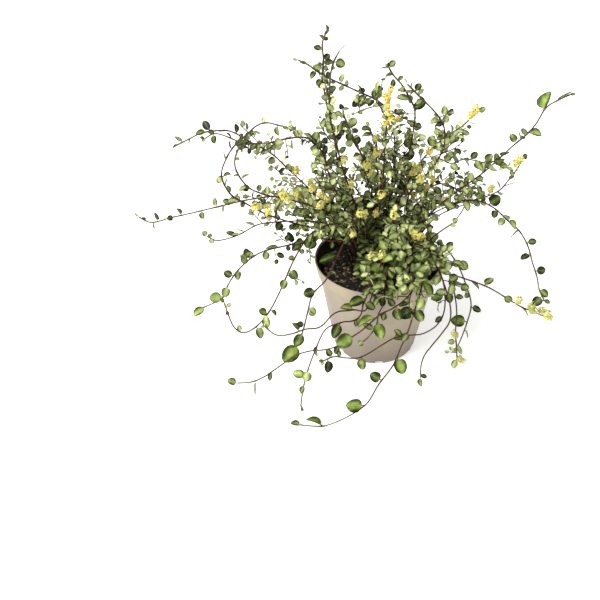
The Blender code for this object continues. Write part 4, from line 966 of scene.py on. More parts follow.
def new_material(name):
    """A new material, its node tree and its surface."""
    made = bpy.data.materials.new(name)
    made.use_nodes = True
    return made, made.node_tree, made.node_tree.nodes["Principled BSDF"]


def feed(tree, node, sockets):
    """Sets each of a node's sockets, or links it where its value is another node's output."""
    for name, value in sockets.items():
        if isinstance(value, bpy.types.NodeSocket):
            tree.links.new(value, node.inputs[name])
        else:
            node.inputs[name].default_value = value


def put(tree, kind, sockets=(), out=0, stops=(), **settings):
    """Adds a node with its settings, sockets and colour stops, and gives one of its outputs."""
    made = tree.nodes.new(kind)
    for name, value in settings.items():
        setattr(made, name, value)
    feed(tree, made, dict(sockets))
    if stops:
        band = made.color_ramp.elements
        while len(band) < len(stops):
            band.new(0.5)
        for element, (place, colour) in zip(band, stops):
            element.position = place
            element.color = linear(colour)
    return made.outputs[out]


def moulded_polypropylene():
    """Moulded polypropylene, taupe: matte with a broad soft sheen and faint flow marks, painted shade
    darkening it towards its foot, and a nearly black inner wall.
    """
    made, tree, surface = new_material("moulded_polypropylene")
    place = put(tree, "ShaderNodeTexCoord", out="Object")
    flow = put(tree, "ShaderNodeMapping", {"Vector": place, "Scale": (1, 1, 0.25)})
    clouds = put(tree, "ShaderNodeTexNoise", {"Vector": flow, "Scale": per_mm(28), "Detail": 5})
    skin = put(tree, "ShaderNodeTexNoise", {"Vector": place, "Scale": per_mm(0.9), "Detail": 2})
    height = put(tree, "ShaderNodeSeparateXYZ", {"Vector": place}, "Z")
    # Painted shade: over the lowest 50 mm the colour is mixed, up to three quarters, towards a dark taupe,
    # most at the foot.
    painted_foot_shade = put(tree, "ShaderNodeMapRange",
                {"Value": height, "From Min": 0.05, "From Max": 0, "To Max": 0.75})
    colour = put(tree, "ShaderNodeValToRGB", {"Fac": clouds},
                 stops=((0.3, "857b6d"), (0.5, "988b77"), (0.72, "aa9b81")))
    colour = put(tree, "ShaderNodeMix", {0: painted_foot_shade, 6: colour, 7: linear("6d6256")}, 2, data_type="RGBA")
    # Darkened to a near black brown over the inner wall that turn_pot marks, patchy at its edges, with rare
    # dark flecks outside.
    inside = put(tree, "ShaderNodeAttribute", out="Fac", attribute_name="peat")
    patchy = put(tree, "ShaderNodeTexNoise", {"Vector": place, "Scale": per_mm(5), "Detail": 4})
    peat = put(tree, "ShaderNodeMath", {0: patchy, 1: inside}, operation="ADD")
    peat = put(tree, "ShaderNodeMapRange",
               {"Value": peat, "From Min": 0.85, "From Max": 1.25, "To Max": 0.97})
    colour = put(tree, "ShaderNodeMix", {0: peat, 6: colour, 7: linear("1f1613")}, 2, data_type="RGBA")
    rough = put(tree, "ShaderNodeMapRange", {"Value": clouds, "To Min": 0.46, "To Max": 0.66})
    bump = put(tree, "ShaderNodeBump", {"Height": skin, "Strength": 0.12, "Distance": 0.1 * MM})
    feed(tree, surface, {"Base Color": colour, "Roughness": rough, "Normal": bump, "IOR": 1.49})
    return made


def peat_and_bark(name, colours, grain):
    """Peat and composted bark: dull and very dark, with paler fibres between the crumbs."""
    made, tree, surface = new_material(name)
    place = put(tree, "ShaderNodeTexCoord", out="Object")
    lumps = put(tree, "ShaderNodeTexNoise",
                {"Vector": place, "Scale": per_mm(grain), "Detail": 6, "Roughness": 0.7})
    colour = put(tree, "ShaderNodeValToRGB", {"Fac": lumps}, stops=colours)
    bump = put(tree, "ShaderNodeBump", {"Height": lumps, "Strength": 0.8, "Distance": 0.6 * MM})
    feed(tree, surface, {"Base Color": colour, "Normal": bump, "Roughness": 0.95, "IOR": 1.4})
    return made


def vine_bark():
    """Wiry young wood: a thin satin bark, dark purple brown, reddish and then green towards the tips."""
    made, tree, surface = new_material("vine_bark")
    place = put(tree, "ShaderNodeTexCoord", out="Object")
    age = put(tree, "ShaderNodeAttribute", out="Fac", attribute_name="share")
    blotch = put(tree, "ShaderNodeTexNoise", {"Vector": place, "Scale": per_mm(6), "Detail": 3})
    shade = put(tree, "ShaderNodeMath", {0: blotch, 1: 0.5}, operation="SUBTRACT")
    shade = put(tree, "ShaderNodeMath", {0: shade, 1: 0.7, 2: age}, operation="MULTIPLY_ADD")
    colour = put(tree, "ShaderNodeValToRGB", {"Fac": shade}, stops=(
        (0.0, "170e0a"), (0.35, "47251c"), (0.7, "462b22"), (0.92, "4c412a"), (1.0, "6e6d40")))
    bump = put(tree, "ShaderNodeBump", {"Height": blotch, "Strength": 0.3, "Distance": 0.2 * MM})
    feed(tree, surface, {"Base Color": colour, "Normal": bump, "Roughness": 0.6, "Specular IOR Level": 0.2})
    return made


def leaf_skin(name, shades, vein, roughness):
    """A leaf's skin: waxy above and dull below, darker at its rim by painted shade that leaves its middle as
    a painted highlight, with a paler midrib and faint side veins, and a fresher green on a larger leaf."""
    made, tree, surface = new_material(name)
    place = put(tree, "ShaderNodeTexCoord", out="Object")
    across = put(tree, "ShaderNodeSeparateXYZ", {"Vector": place.node.outputs["UV"]}, "Y")
    along = across.node.outputs["X"]
    aside = put(tree, "ShaderNodeMath", {0: across, 1: 0.5}, operation="SUBTRACT")
    aside = put(tree, "ShaderNodeMath", {0: aside}, operation="ABSOLUTE")
    rib = put(tree, "ShaderNodeMapRange", {"Value": aside, "From Min": 0.05, "From Max": 0.015})
    side = put(tree, "ShaderNodeMath", {0: aside, 1: -VEIN_SLANT, 2: along}, operation="MULTIPLY_ADD")
    side = put(tree, "ShaderNodeMath", {0: side, 1: VEIN_RATE}, operation="MULTIPLY")
    side = put(tree, "ShaderNodeMath", {0: side}, operation="SINE")
    side = put(tree, "ShaderNodeMapRange", {"Value": side, "From Min": 0.82, "From Max": 1, "To Max": 0.3})
    veins = put(tree, "ShaderNodeMath", {0: rib, 1: side}, operation="MAXIMUM")
    tone = put(tree, "ShaderNodeAttribute", out="Fac", attribute_name="tone")
    # Painted shade at the rim: the tone falls by up to 0.36 from a third of the way out to the edge, so the
    # middle reads as a painted highlight.
    painted_rim_shade = put(tree, "ShaderNodeMapRange",
              {"Value": aside, "From Min": 0.16, "From Max": 0.5, "To Max": -0.36})
    tone = put(tree, "ShaderNodeMath", {0: tone, 1: painted_rim_shade}, operation="ADD")
    blotch = put(tree, "ShaderNodeTexNoise", {"Vector": place, "Scale": per_mm(6), "Detail": 3})
    blotch = put(tree, "ShaderNodeMath", {0: blotch, 1: 0.45}, operation="SUBTRACT")
    tone = put(tree, "ShaderNodeMath", {0: blotch, 1: 0.8, 2: tone}, operation="MULTIPLY_ADD")
    colour = put(tree, "ShaderNodeValToRGB", {"Fac": tone}, stops=shades)
    fresh = put(tree, "ShaderNodeAttribute", out="Fac", attribute_name="fresh")
    colour = put(tree, "ShaderNodeMix", {0: fresh, 6: colour, 7: linear("e6f5c4")}, 2,
                 data_type="RGBA", blend_type="MULTIPLY")
    share = put(tree, "ShaderNodeMath", {0: veins, 1: 0.25}, operation="MULTIPLY")
    colour = put(tree, "ShaderNodeMix", {0: share, 6: colour, 7: linear(vein)}, 2, data_type="RGBA")
    bump = put(tree, "ShaderNodeBump", {"Height": veins, "Strength": 0.25, "Distance": 0.1 * MM}, invert=True)
    feed(tree, surface, {"Base Color": colour, "Normal": bump, "Roughness": roughness, "IOR": 1.45,
                         "Specular IOR Level": 0.12})
    return made


def flower_petals():
    """Small waxy petals: soft and slightly see-through to the eye, greenish yellow, orange where ripe."""
    made, tree, surface = new_material("flower_petals")
    tone = put(tree, "ShaderNodeAttribute", out="Fac", attribute_name="tone")
    place = put(tree, "ShaderNodeTexCoord", out="Object")
    blotch = put(tree, "ShaderNodeTexNoise", {"Vector": place, "Scale": per_mm(1.5), "Detail": 2})
    blotch = put(tree, "ShaderNodeMath", {0: blotch, 1: 0.5}, operation="SUBTRACT")
    tone = put(tree, "ShaderNodeMath", {0: blotch, 1: 0.5, 2: tone}, operation="MULTIPLY_ADD")
    colour = put(tree, "ShaderNodeValToRGB", {"Fac": tone}, stops=(
        (0.0, "b3b362"), (0.25, "e0da84"), (0.55, "efe070"), (0.8, "e0bc52"), (1.0, "c08a34")))
    feed(tree, surface, {"Base Color": colour, "Roughness": 0.55, "Subsurface Weight": 0.15,
                         "Subsurface Scale": 1 * MM})
    return made


def studio_paper():
    """Matt white paper: pale and without a pattern, with only a trace of tooth."""
    made, tree, surface = new_material("studio_paper")
    place = put(tree, "ShaderNodeTexCoord", out="Object")
    tooth = put(tree, "ShaderNodeTexNoise", {"Vector": place, "Scale": per_mm(3), "Detail": 2})
    colour = put(tree, "ShaderNodeValToRGB", {"Fac": tooth}, stops=((0.3, "f4f4f2"), (0.7, "f7f7f5")))
    feed(tree, surface, {"Base Color": colour, "Roughness": 0.9, "Emission Color": linear("ffffff"),
                         "Emission Strength": 0.5})
    return made


def deselect():
    """Leaves nothing selected, so that an operator acts on new pieces alone."""
    bpy.ops.object.select_all(action="DESELECT")


def begin_edit():
    """Starts the editing of the active piece."""
    bpy.ops.object.mode_set(mode="EDIT")


def end_edit():
    """Ends the editing of the active piece."""
    bpy.ops.object.mode_set(mode="OBJECT")


def pick_all():
    """Selects, in edit mode, all of the active piece."""
    bpy.ops.mesh.select_all(action="SELECT")


def pick(test):
    """Selects, in edit mode, the points of the active piece that pass a test."""
    form = bmesh.from_edit_mesh(bpy.context.object.data)
    for point in form.verts:
        point.select = test(point.co)
    form.select_flush(True)
    form.select_flush_mode()
    bmesh.update_edit_mesh(bpy.context.object.data)


def turn_faces_out():
    """Turns, in edit mode, all the faces of the active piece outwards."""
    pick_all()
    bpy.ops.mesh.normals_make_consistent(inside=False)


def named(name):
    """The active piece, under its own name."""
    piece = bpy.context.object
    piece.name = piece.data.name = name
    return piece


def work(piece, kind, **settings):
    """Changes a piece by one modifier, with its settings, and applies it."""
    bpy.context.view_layer.objects.active = piece
    change = piece.modifiers.new("change", kind)
    for name, value in settings.items():
        setattr(change, name, value)
    bpy.ops.object.modifier_apply(modifier=change.name)


def join(name, parts):
    """One piece of several, under its own name."""
    deselect()
    for part in parts:
        part.select_set(True)
    bpy.context.view_layer.objects.active = parts[0]
    bpy.ops.object.join()
    return named(name)


def finish_piece(piece, slot, *nodes):
    """Puts a finished piece in the place of its nodes."""
    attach(piece, "root")
    if nodes:
        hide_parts(*nodes)


def mark(mesh, name, values):
    """Writes a value to every point of a mesh, or each its own, under a name that a material reads."""
    shade = mesh.attributes.get(name) or mesh.attributes.new(name, "FLOAT", "POINT")
    shade.data.foreach_set("value", np.full(len(mesh.vertices), values, np.float32))


def copy_of(shape, place, **marks):
    """A copy of a modelled shape at its place, with its own mesh and marks."""
    copy = bpy.data.objects.new(shape.name, shape.data.copy())
    bpy.context.scene.collection.objects.link(copy)
    copy.data.transform(place)
    for name, value in marks.items():
        mark(copy.data, name, value)
    return copy


def pot_rings():
    """The finer pot's section as radius and height, with its rim rolled and its corners eased."""
    step = POT_HEIGHT - COLLAR_DEPTH
    under = pot_radius(step)
    collar = step + COLLAR_SLOPE
    inner = RIM_RADIUS - WALL
    return [(BASE_RADIUS - FOOT_CHAMFER, 0), (BASE_RADIUS - FOOT_CHAMFER / 3, 0.5),
            (pot_radius(FOOT_CHAMFER), FOOT_CHAMFER), (pot_radius(3.2), 3.2),
            (pot_radius(step - 0.8), step - 0.8), (under + 0.2, step - 0.1),
            (under + COLLAR_STEP - 0.3, step + 0.7), (under + COLLAR_STEP, collar),
            (RIM_RADIUS - 0.1, POT_HEIGHT - 1.6), (RIM_RADIUS, POT_HEIGHT - 0.7),
            (RIM_RADIUS - 0.2, POT_HEIGHT - 0.2), (RIM_RADIUS - 0.6, POT_HEIGHT),
            (inner + 0.4, POT_HEIGHT - 0.1), (inner, POT_HEIGHT - 0.7), (inner - 0.4, POT_HEIGHT - 2.6),
            (under - WALL + COLLAR_STEP, collar + 0.7), (under - WALL, step - 0.7),
            (pot_radius(BASE_THICKNESS) - WALL, BASE_THICKNESS)]


def notch_cutter(index):
    """A block with eased edges that cuts one of the drainage notches."""
    angle = math.tau * (index + 0.5) / NOTCHES
    deselect()
    bpy.ops.mesh.primitive_cube_add(
        size=1, scale=(NOTCH_LENGTH * MM, NOTCH_WIDTH * MM, NOTCH_HEIGHT * 2 * MM), rotation=(0, 0, angle),
        location=(BASE_RADIUS * MM * math.cos(angle), BASE_RADIUS * MM * math.sin(angle), 0))
    begin_edit()
    pick_all()
    bpy.ops.mesh.bevel(offset=NOTCH_BEVEL * MM, segments=2)
    end_edit()
    return bpy.context.object


def turn_pot(finish):
    """The pot: a disc drawn up its outside, over its rim and down its inside, with its notches cut out."""
    rings = pot_rings()
    deselect()
    bpy.ops.mesh.primitive_circle_add(vertices=FINE_SIDES, radius=rings[0][0] * MM, fill_type="NGON")
    pot = named("moulded_pot")
    begin_edit()
    for (before, low), (after, high) in zip(rings, rings[1:]):
        bpy.ops.mesh.extrude_region_move(TRANSFORM_OT_translate={"value": (0, 0, (high - low) * MM)})
        bpy.ops.transform.resize(value=(after / before, after / before, 1), center_override=(0, 0, high * MM))
    turn_faces_out()
    end_edit()
    pot.data.materials.append(finish)
    for index in range(NOTCHES):
        cutter = notch_cutter(index)
        work(pot, "BOOLEAN", operation="DIFFERENCE", solver="EXACT", object=cutter)
        bpy.data.objects.remove(cutter)
    # Marks the inner wall, from the base up to just under the rim, for the finish to darken nearly black.
    spots = np.array([point.co for point in pot.data.vertices]) / MM
    step_out = np.where(spots[:, 2] > POT_HEIGHT - COLLAR_DEPTH + 0.3, COLLAR_STEP, 0)
    inner = np.hypot(spots[:, 0], spots[:, 1]) < pot_radius(spots[:, 2]) + step_out - WALL / 2
    mark(pot.data, "peat", inner & (spots[:, 2] > BASE_THICKNESS) & (spots[:, 2] < POT_HEIGHT - 1))
    deselect()
    pot.select_set(True)
    bpy.ops.object.shade_smooth_by_angle(angle=POT_SMOOTH)
    finish_piece(pot, "pot", "pot")


def soil_radius(height):
    """The soil's radius at a height, just inside the pot's wall."""
    return (pot_radius(height) - WALL) * math.cos(math.pi / POT_SIDES) - GAP


def heap_soil(finish):
    """The potting soil: a plug with a domed, crumbly top."""
    base = BASE_THICKNESS + GAP
    middle = (SOIL_LEVEL + base) / 2 * MM
    top = soil_radius(SOIL_LEVEL)
    deselect()
    bpy.ops.mesh.primitive_cylinder_add(vertices=FINE_SIDES, radius=top * MM, depth=(SOIL_LEVEL - base) * MM,
                                        location=(0, 0, middle), end_fill_type="NGON")
    soil = named("heaped_soil")
    bpy.ops.object.transform_apply(location=True)
    begin_edit()
    pick(lambda spot: spot.z < middle)
    narrow = soil_radius(base) / top
    bpy.ops.transform.resize(value=(narrow, narrow, 1), center_override=(0, 0, base * MM))
    pick(lambda spot: spot.z > middle)
    bpy.ops.mesh.delete(type="ONLY_FACE")
    pick(lambda spot: spot.z > middle)
    bpy.ops.mesh.fill_grid()
    pick(lambda spot: spot.z > middle)
    bpy.ops.mesh.subdivide(number_cuts=SOIL_CUTS)
    turn_faces_out()
    end_edit()
    heap = soil.vertex_groups.new(name="heap")
    for point in soil.data.vertices:
        if point.co.z > middle:
            share = min(1, math.hypot(point.co.x, point.co.y) / (top * MM))
            heap.add([point.index], 1 - share**6, "REPLACE")
            point.co.z += SOIL_DOME * MM * (1 - share**2)
    for size, rise in SOIL_LUMPS:
        lumps = bpy.data.textures.new("lumps", "CLOUDS")
        lumps.noise_scale = size * MM
        lumps.noise_depth = 3
        work(soil, "DISPLACE", texture=lumps, strength=rise * MM, mid_level=0.5, direction="Z",
             vertex_group="heap", texture_coords="LOCAL")
    soil.data.materials.append(finish)
    deselect()
    soil.select_set(True)
    bpy.ops.object.shade_smooth()
    finish_piece(soil, "soil", "soil")
    return soil


def crumb_shapes():
    """The shapes of the crumbs and bark chips: small rough lumps, one of them flat and one long."""
    shapes = []
    for seed, stretch in enumerate(CRUMB_STRETCHES):
        deselect()
        bpy.ops.mesh.primitive_ico_sphere_add(subdivisions=1, radius=1 * MM)
        shapes.append(named(f"crumb_{seed}"))
        begin_edit()
        pick_all()
        bpy.ops.transform.vertex_random(offset=CRUMB_ROUGHNESS * MM, seed=seed)
        bpy.ops.transform.resize(value=stretch)
        end_edit()
    return shapes


def scatter_crumbs(soil, finish):
    """Crumbs and bark chips lying on the soil."""
    rng = random.Random(11)
    ground = BVHTree.FromObject(soil, bpy.context.evaluated_depsgraph_get())
    shapes = crumb_shapes()
    crumbs = []
    for _ in range(CRUMBS):
        radius = (soil_radius(SOIL_LEVEL) - CRUMB_REACH) * math.sqrt(rng.random())
        angle = rng.uniform(0, math.tau)
        above = Vector((radius * math.cos(angle), radius * math.sin(angle), POT_HEIGHT)) * MM
        spot = ground.ray_cast(above, Vector((0, 0, -1)))[0] + Vector((0, 0, CRUMB_LIFT * MM))
        turn = Matrix.Rotation(rng.uniform(0, math.tau), 4, "Z")
        lean = Matrix.Rotation(rng.uniform(-CRUMB_LEAN, CRUMB_LEAN), 4, "X")
        size = CRUMB_SMALLEST + CRUMB_SPREAD * rng.random() ** CRUMB_POWER
        place = Matrix.Translation(spot) @ (turn @ lean) @ Matrix.Scale(size, 4)
        crumbs.append(copy_of(rng.choice(shapes), place, tone=rng.random()))
    for shape in shapes:
        bpy.data.objects.remove(shape)
    piece = join("soil_crumbs", crumbs)
    piece.data.materials.append(finish)
    finish_piece(piece, "soil")


def leaf_shape(name, half_widths, fold, hang, skins):
    """A leaf along +X: a strip narrowed to its outline, folded at its midrib, and given a thickness."""
    deselect()
    columns = len(LEAF_COLUMNS) - 1
    bpy.ops.mesh.primitive_grid_add(x_subdivisions=columns, y_subdivisions=2, size=LEAF_UNIT * MM,
                                    location=(LEAF_UNIT / 2 * MM, 0, 0))
    leaf = named(name)
    bpy.ops.object.transform_apply(location=True)
    begin_edit()
    pick(lambda spot: abs(spot.y) > 1 * MM)
    bpy.ops.transform.translate(value=(0, 0, fold * LEAF_UNIT / 2 * MM))
    for index in reversed(range(columns + 1)):
        even = LEAF_UNIT * MM * index / columns
        share = LEAF_COLUMNS[index]
        pick(lambda spot: abs(spot.x - even) < 0.2 * MM)
        narrow = half_widths[index] * 2
        bpy.ops.transform.resize(value=(1, narrow, narrow), center_override=(even, 0, 0))
        sag = hang * max(0, share - LEAF_COLUMNS[1]) ** 2 * LEAF_UNIT * MM
        bpy.ops.transform.translate(value=(share * LEAF_UNIT * MM - even, 0, -sag))
    end_edit()
    for skin in skins:
        leaf.data.materials.append(skin)
    work(leaf, "SOLIDIFY", thickness=LEAF_THICKNESS * MM, offset=-1, material_offset=1)
    bpy.ops.object.shade_smooth_by_angle(angle=LEAF_SMOOTH)
    return leaf


def floret_shape(finish):
    """A floret: a fan drawn in between its five lobes, its lobes raised, and given a thickness."""
    deselect()
    bpy.ops.mesh.primitive_circle_add(vertices=PETALS * 2, radius=PETAL_REACH * MM, fill_type="TRIFAN")
    floret = named("floret")
    begin_edit()
    half_way = PETAL_REACH * MM / 2
    pick(lambda spot: spot.length > half_way)
    bpy.ops.transform.translate(value=(0, 0, PETAL_RISE * MM))
    pick(lambda spot: spot.length > half_way
         and round(math.atan2(spot.y, spot.x) / math.tau * PETALS * 2) % 2 == 0)
    bpy.ops.transform.resize(value=(PETAL_WAIST, PETAL_WAIST, 1), center_override=(0, 0, 0))
    end_edit()
    floret.data.materials.append(finish)
    work(floret, "SOLIDIFY", thickness=PETAL_THICKNESS * MM, offset=-1)
    bpy.ops.object.shade_smooth_by_angle(angle=PETAL_SMOOTH)
    return floret


def offset(point, oval):
    """How far a point is from the middle of an oval of the front view, where 1 is on its edge."""
    centre, reach = oval
    return math.hypot(*((shown([point])[0] - centre) / reach))


def in_the_open(point):
    """Whether a point is in one of the ovals that stay open."""
    return min(offset(point, oval) for oval in OPEN_SPOTS) < 1


def bushiness(point):
    """How thickly twigs and leaves grow round a point, from 0 to 1."""
    if in_the_open(point):
        return 0
    if offset(point, APRON) < 1:
        return 1
    if shown([point])[0][1] < SPARSE_BELOW:
        return SPARSE
    return min(1, max(SPARSE, BUSHY_MIDDLE - BUSHY_FALL * offset(point, BUSHY)))


def twig_points(stem, joint, rng):
    """The points of a side twig that strays as it grows from a joint towards the light."""
    start = Vector(stem.line[joint])
    lean = math.radians(rng.uniform(*LEANS))
    way = placing(start, stem.ways[joint], rng.uniform(0, math.tau), lean, Vector()).col[0].to_3d()
    points = [start]
    for _ in range(rng.randint(*TWIG_STEPS)):
        way = (way + LIGHT * TWIG_RISE + straying(rng, TWIG_STRAY)).normalized()
        points.append(points[-1] + way * STEM_STEP)
    return points


def twig_body(line):
    """The room that a twig takes along a line."""
    return tube(np.array(line), [TWIG_THICK + MARGIN] * len(line), SPACE_SIDES)


def add_twigs(stem, space, rng):
    """Fine side twigs of a stem, where it runs through the bushy parts."""
    twigs = []
    last = int(len(stem.line) * TWIGS_TO) if stem.name in RUNNERS else len(stem.line) - 2
    for joint in range(STRAIGHT_FOOT + 3, last, 2):
        start = stem.line[joint]
        bushy = bushiness(start)
        if bushy < TWIGGY or rng.random() > bushy**2 * TWIG_LUCK or start[2] < SOIL_TOP + TWIGS_OVER_SOIL:
            continue
        for _ in range(TWIG_TRIES):
            points = twig_points(stem, joint, rng)
            body = twig_body(points)
            if space.clear(*body, stem.name) and not any(map(in_the_open, points[2:])):
                leaf = TWIG_LEAF * (APRON_GROWTH if offset(points[0], APRON) < 1 else 1)
                twigs.append(Stem(f"{stem.name}_twig_{len(twigs)}", leaf, SHOOT_GAP, np.array(points)))
                space.add(twigs[-1].name, *body)
                break
    return twigs


def clear_twig(stem, joint, route, space):
    """A twig from a joint through places of the front view, as deep as leaves it clear of the rest."""
    start = stem.line[joint]
    for drift in TWIG_DRIFTS:
        depths = np.linspace(start[1], start[1] + drift, len(route) + 1)[1:]
        line = smooth_line([start, *[seen(*spot, depth) for spot, depth in zip(route, depths)]])
        if space.clear(*twig_body(line), stem.name):
            return line
    return None


def add_seen_twigs(stems, space, twigs):
    """The side twigs that the front view shows, each from the joint that stands best for it."""
    for leaf, route in SEEN_TWIGS:
        choices = sorted((*best_joint(stem, route[0], TWIG_REACH), stem.name, stem) for stem in stems)
        for _, joint, _, stem in choices[:SEEN_STEMS]:
            line = clear_twig(stem, joint, route, space)
            if line is not None:
                twig = Stem(f"{stem.name}_seen_twig_{len(twigs[stem.name])}", leaf, SHOOT_GAP, line)
                space.add(twig.name, *twig_body(line))
                twigs[stem.name].append(twig)
                break


def add_near_spikes(stems, space):
    """Stands a flower spike at each further spot, on the joint nearest to the front view's eye."""
    rng = random.Random(8)
    for spot in MORE_FLOWER_SPOTS:
        choices = []
        for stem in stems:
            joints = np.arange(STRAIGHT_FOOT + 4, len(stem.line) - 1)
            away = np.linalg.norm(shown(stem.line[joints]) - spot, axis=1)
            near = np.linalg.norm(stem.line[joints] - np.array(VIEW_EYE), axis=1)
            choices += [(near[index], stem.name, stem, joints[index])
                        for index in np.flatnonzero(away < NEAR_SPOT)]
        for _, _, stem, joint in sorted(choices)[:NEAR_STEMS]:
            ways = [(VIEW_NEAR + LIGHT + straying(rng, 1)).normalized() for _ in range(NEAR_TRIES)]
            tips = [stem.root(joint) + way * SPIKE_LENGTH for way in ways]
            tip = first_clear(tips, stem, joint, space)
            if tip is not None:
                stem.spikes.append((stem.root(joint), tip))
                break


def keep_in_sight(stems, space):
    """Holds the way from each flower spike to the front view's eye clear of more leaves."""
    for root, tip in [spike for stem in stems for spike in stem.spikes]:
        toward = (VIEW_EYE - tip).normalized()
        ends = [root.lerp(tip, 0.7) + toward * away for away in (FLORET_RADIUS * 2, SIGHT_LENGTH)]
        space.add("sight", *tube(np.array(ends), [SIGHT_RADIUS] * 2, SPIKE_SIDES))


def add_young_tip(stem, space, rng):
    """The small new leaves round a stem's growing tip."""
    last = len(stem.line) - 1
    for turn in range(3):
        lean = math.radians(rng.uniform(*YOUNG_LEANS))
        tilt = straying(rng, YOUNG_TILT)
        place = placing(Vector(stem.line[last]), stem.ways[last], turn * GOLDEN_ANGLE, lean, tilt)
        points, faces = blade(TIP_LEAF)
        if space.clear([place @ point for point in points], faces, stem.name):
            stem.leaves.append((place, TIP_LEAF * rng.uniform(*YOUNG_SIZES), last))


def fill_out(stems, space):
    """Gives the stems their other spikes, twigs and leaves, and returns each one's twigs."""
    add_near_spikes(stems, space)
    keep_in_sight(stems, space)
    add_seen_leaves([stem for stem in stems if stem.name not in BACK_RUNNERS], space, MORE_LEAVES)
    twigs = {stem.name: [] for stem in stems}
    add_seen_twigs(stems, space, twigs)
    for stem in stems:
        rng = random.Random(stem.name + " twigs")
        last = len(stem.line) - 1
        taken = {joint for _, _, joint in stem.leaves}
        others = [joint for joint in range(last, STRAIGHT_FOOT + 2, -1) if joint not in taken
                  and ((last - joint) % stem.stride == 0
                       or rng.random() < bushiness(stem.line[joint]) * MORE_LEAVES_LUCK)
                  and (stem.name not in RUNNERS or bushiness(stem.line[joint]) > SPARSE)
                  and not in_the_open(stem.line[joint])]
        add_leaves(stem, others, space, rng, LEAF_SWAY)
        add_young_tip(stem, space, rng)
        twigs[stem.name] += add_twigs(stem, space, rng)
    for stem in stems:
        rng = random.Random(stem.name + " leaves")
        for twig in twigs[stem.name]:
            sway = APRON_SWAY if offset(twig.line[0], APRON) < 1 else LEAF_SWAY
            add_leaves(twig, range(len(twig.line) - 1, 1, -1), space, rng, sway)
    return twigs


def doubled(line):
    """A line with a smooth midpoint between each two of its points."""
    ends = np.vstack([2 * line[0] - line[1], line, 2 * line[-1] - line[-2]])
    whole = np.empty((2 * len(line) - 1, 3))
    whole[::2] = line
    whole[1::2] = (9 * (ends[1:-2] + ends[2:-1]) - ends[:-3] - ends[3:]) / 16
    return whole


def bark_runs(stem, twigs):
    """The line, radii and age of each length of bark: the stem's, its twigs' and its spikes'."""
    runs = []
    for grown, thick, thin, age in [(stem, BARK_THICK, BARK_THIN, 0)] + [
            (twig, TWIG_THICK, TWIG_THIN, TWIG_AGE) for twig in twigs]:
        radii = np.linspace(thick, thin, len(grown.line))
        radii[[joint for _, _, joint in grown.leaves]] *= JOINT_SWELL
        line = doubled(grown.line)
        radii = np.interp(np.arange(len(line)) / 2, np.arange(len(radii)), radii)
        runs.append((line, radii, np.linspace(age, 1, len(line))))
    for root, tip in stem.spikes:
        line = np.array([root.lerp(tip, share) for share in np.linspace(0, 1, SPIKE_READS)])
        runs.append((line, np.linspace(SPIKE_THICK, SPIKE_THIN, SPIKE_READS),
                     np.full(SPIKE_READS, SPIKE_AGE)))
    return runs


def draw_bark(stem, twigs, finish):
    """A stem's bark: a round tube along each run, swollen at the joints and drawn to a point at its ends."""
    curve = bpy.data.curves.new(stem.name + "_bark", "CURVE")
    curve.dimensions = "3D"
    curve.bevel_depth = MM
    curve.bevel_resolution = 1
    ages = []
    for line, radii, run_ages in bark_runs(stem, twigs):
        line = np.vstack([line[0] - (line[1] - line[0]) * 0.1, line])
        radii = np.append(0, radii)
        radii[-1] = 0
        run = curve.splines.new("POLY")
        run.points.add(len(line) - 1)
        run.points.foreach_set("co", np.column_stack([line * MM, np.ones(len(line))]).ravel())
        run.points.foreach_set("radius", radii)
        ages += [run_ages[0], *run_ages]
    bark = bpy.data.objects.new(curve.name, curve)
    bpy.context.scene.collection.objects.link(bark)
    deselect()
    bark.select_set(True)
    bpy.context.view_layer.objects.active = bark
    bpy.ops.object.convert(target="MESH")
    bark = bpy.context.object
    mark(bark.data, "share", np.repeat(ages, len(bark.data.vertices) // len(ages)))
    bark.data.materials.clear()
    bark.data.materials.append(finish)
    begin_edit()
    pick_all()
    bpy.ops.mesh.remove_doubles(threshold=1e-6)
    turn_faces_out()
    end_edit()
    bpy.ops.object.shade_smooth()
    finish_piece(bark, "leafy_stem", stem.name)


def leaf_tone(stem, root, young, palest, rng):
    """How pale a leaf is, by where it grows: 0 is the darkest green and 1 the palest."""
    bushy = bushiness(root)
    tone = rng.gauss(PLAIN_TONE + BUSHY_TONE * bushy, PLAIN_SPREAD + BUSHY_SPREAD * bushy)
    if offset(root, APRON) < 1:
        tone = rng.gauss(*APRON_TONE)
    tone += sum(shift for oval, shift in TONE_SPOTS if offset(root, oval) < 1)
    if young and stem.name in YOUNG_STEMS:
        tone += YOUNG_LIFT
    return min(palest, max(0, tone))


def hang_leaves(stem, twigs, shapes):
    """A stem's leaves: copies of the leaf shapes, paler in the bushy parts and fresher where large."""
    rng = random.Random(stem.name + " shades")
    leaves = []
    for grown in [stem, *twigs]:
        last = len(grown.line) - 1
        for place, length, joint in grown.leaves:
            root = Vector([np.interp(joint - SETBACK, np.arange(last + 1), grown.line[:, axis])
                           for axis in range(3)])
            size = length / LEAF_UNIT
            grow_by = Matrix.Diagonal((size, size * rng.uniform(*WIDTHS), size, 1))
            fresh = min(1, max(0, (length - FRESH_FROM) / (FRESH_TO - FRESH_FROM)))
            palest = YOUNG_TONE if length < GROWN_LEAF else GROWN_TONE - FRESH_DROP * fresh
            tone = leaf_tone(stem, root, joint > last * YOUNG_FROM, palest, rng)
            spot = Matrix.Translation(root * MM) @ place.to_3x3().to_4x4() @ grow_by
            leaves.append(copy_of(rng.choice(shapes), spot, tone=tone, fresh=fresh))
    finish_piece(join(stem.name + "_leaves", leaves), "leafy_stem", stem.name)


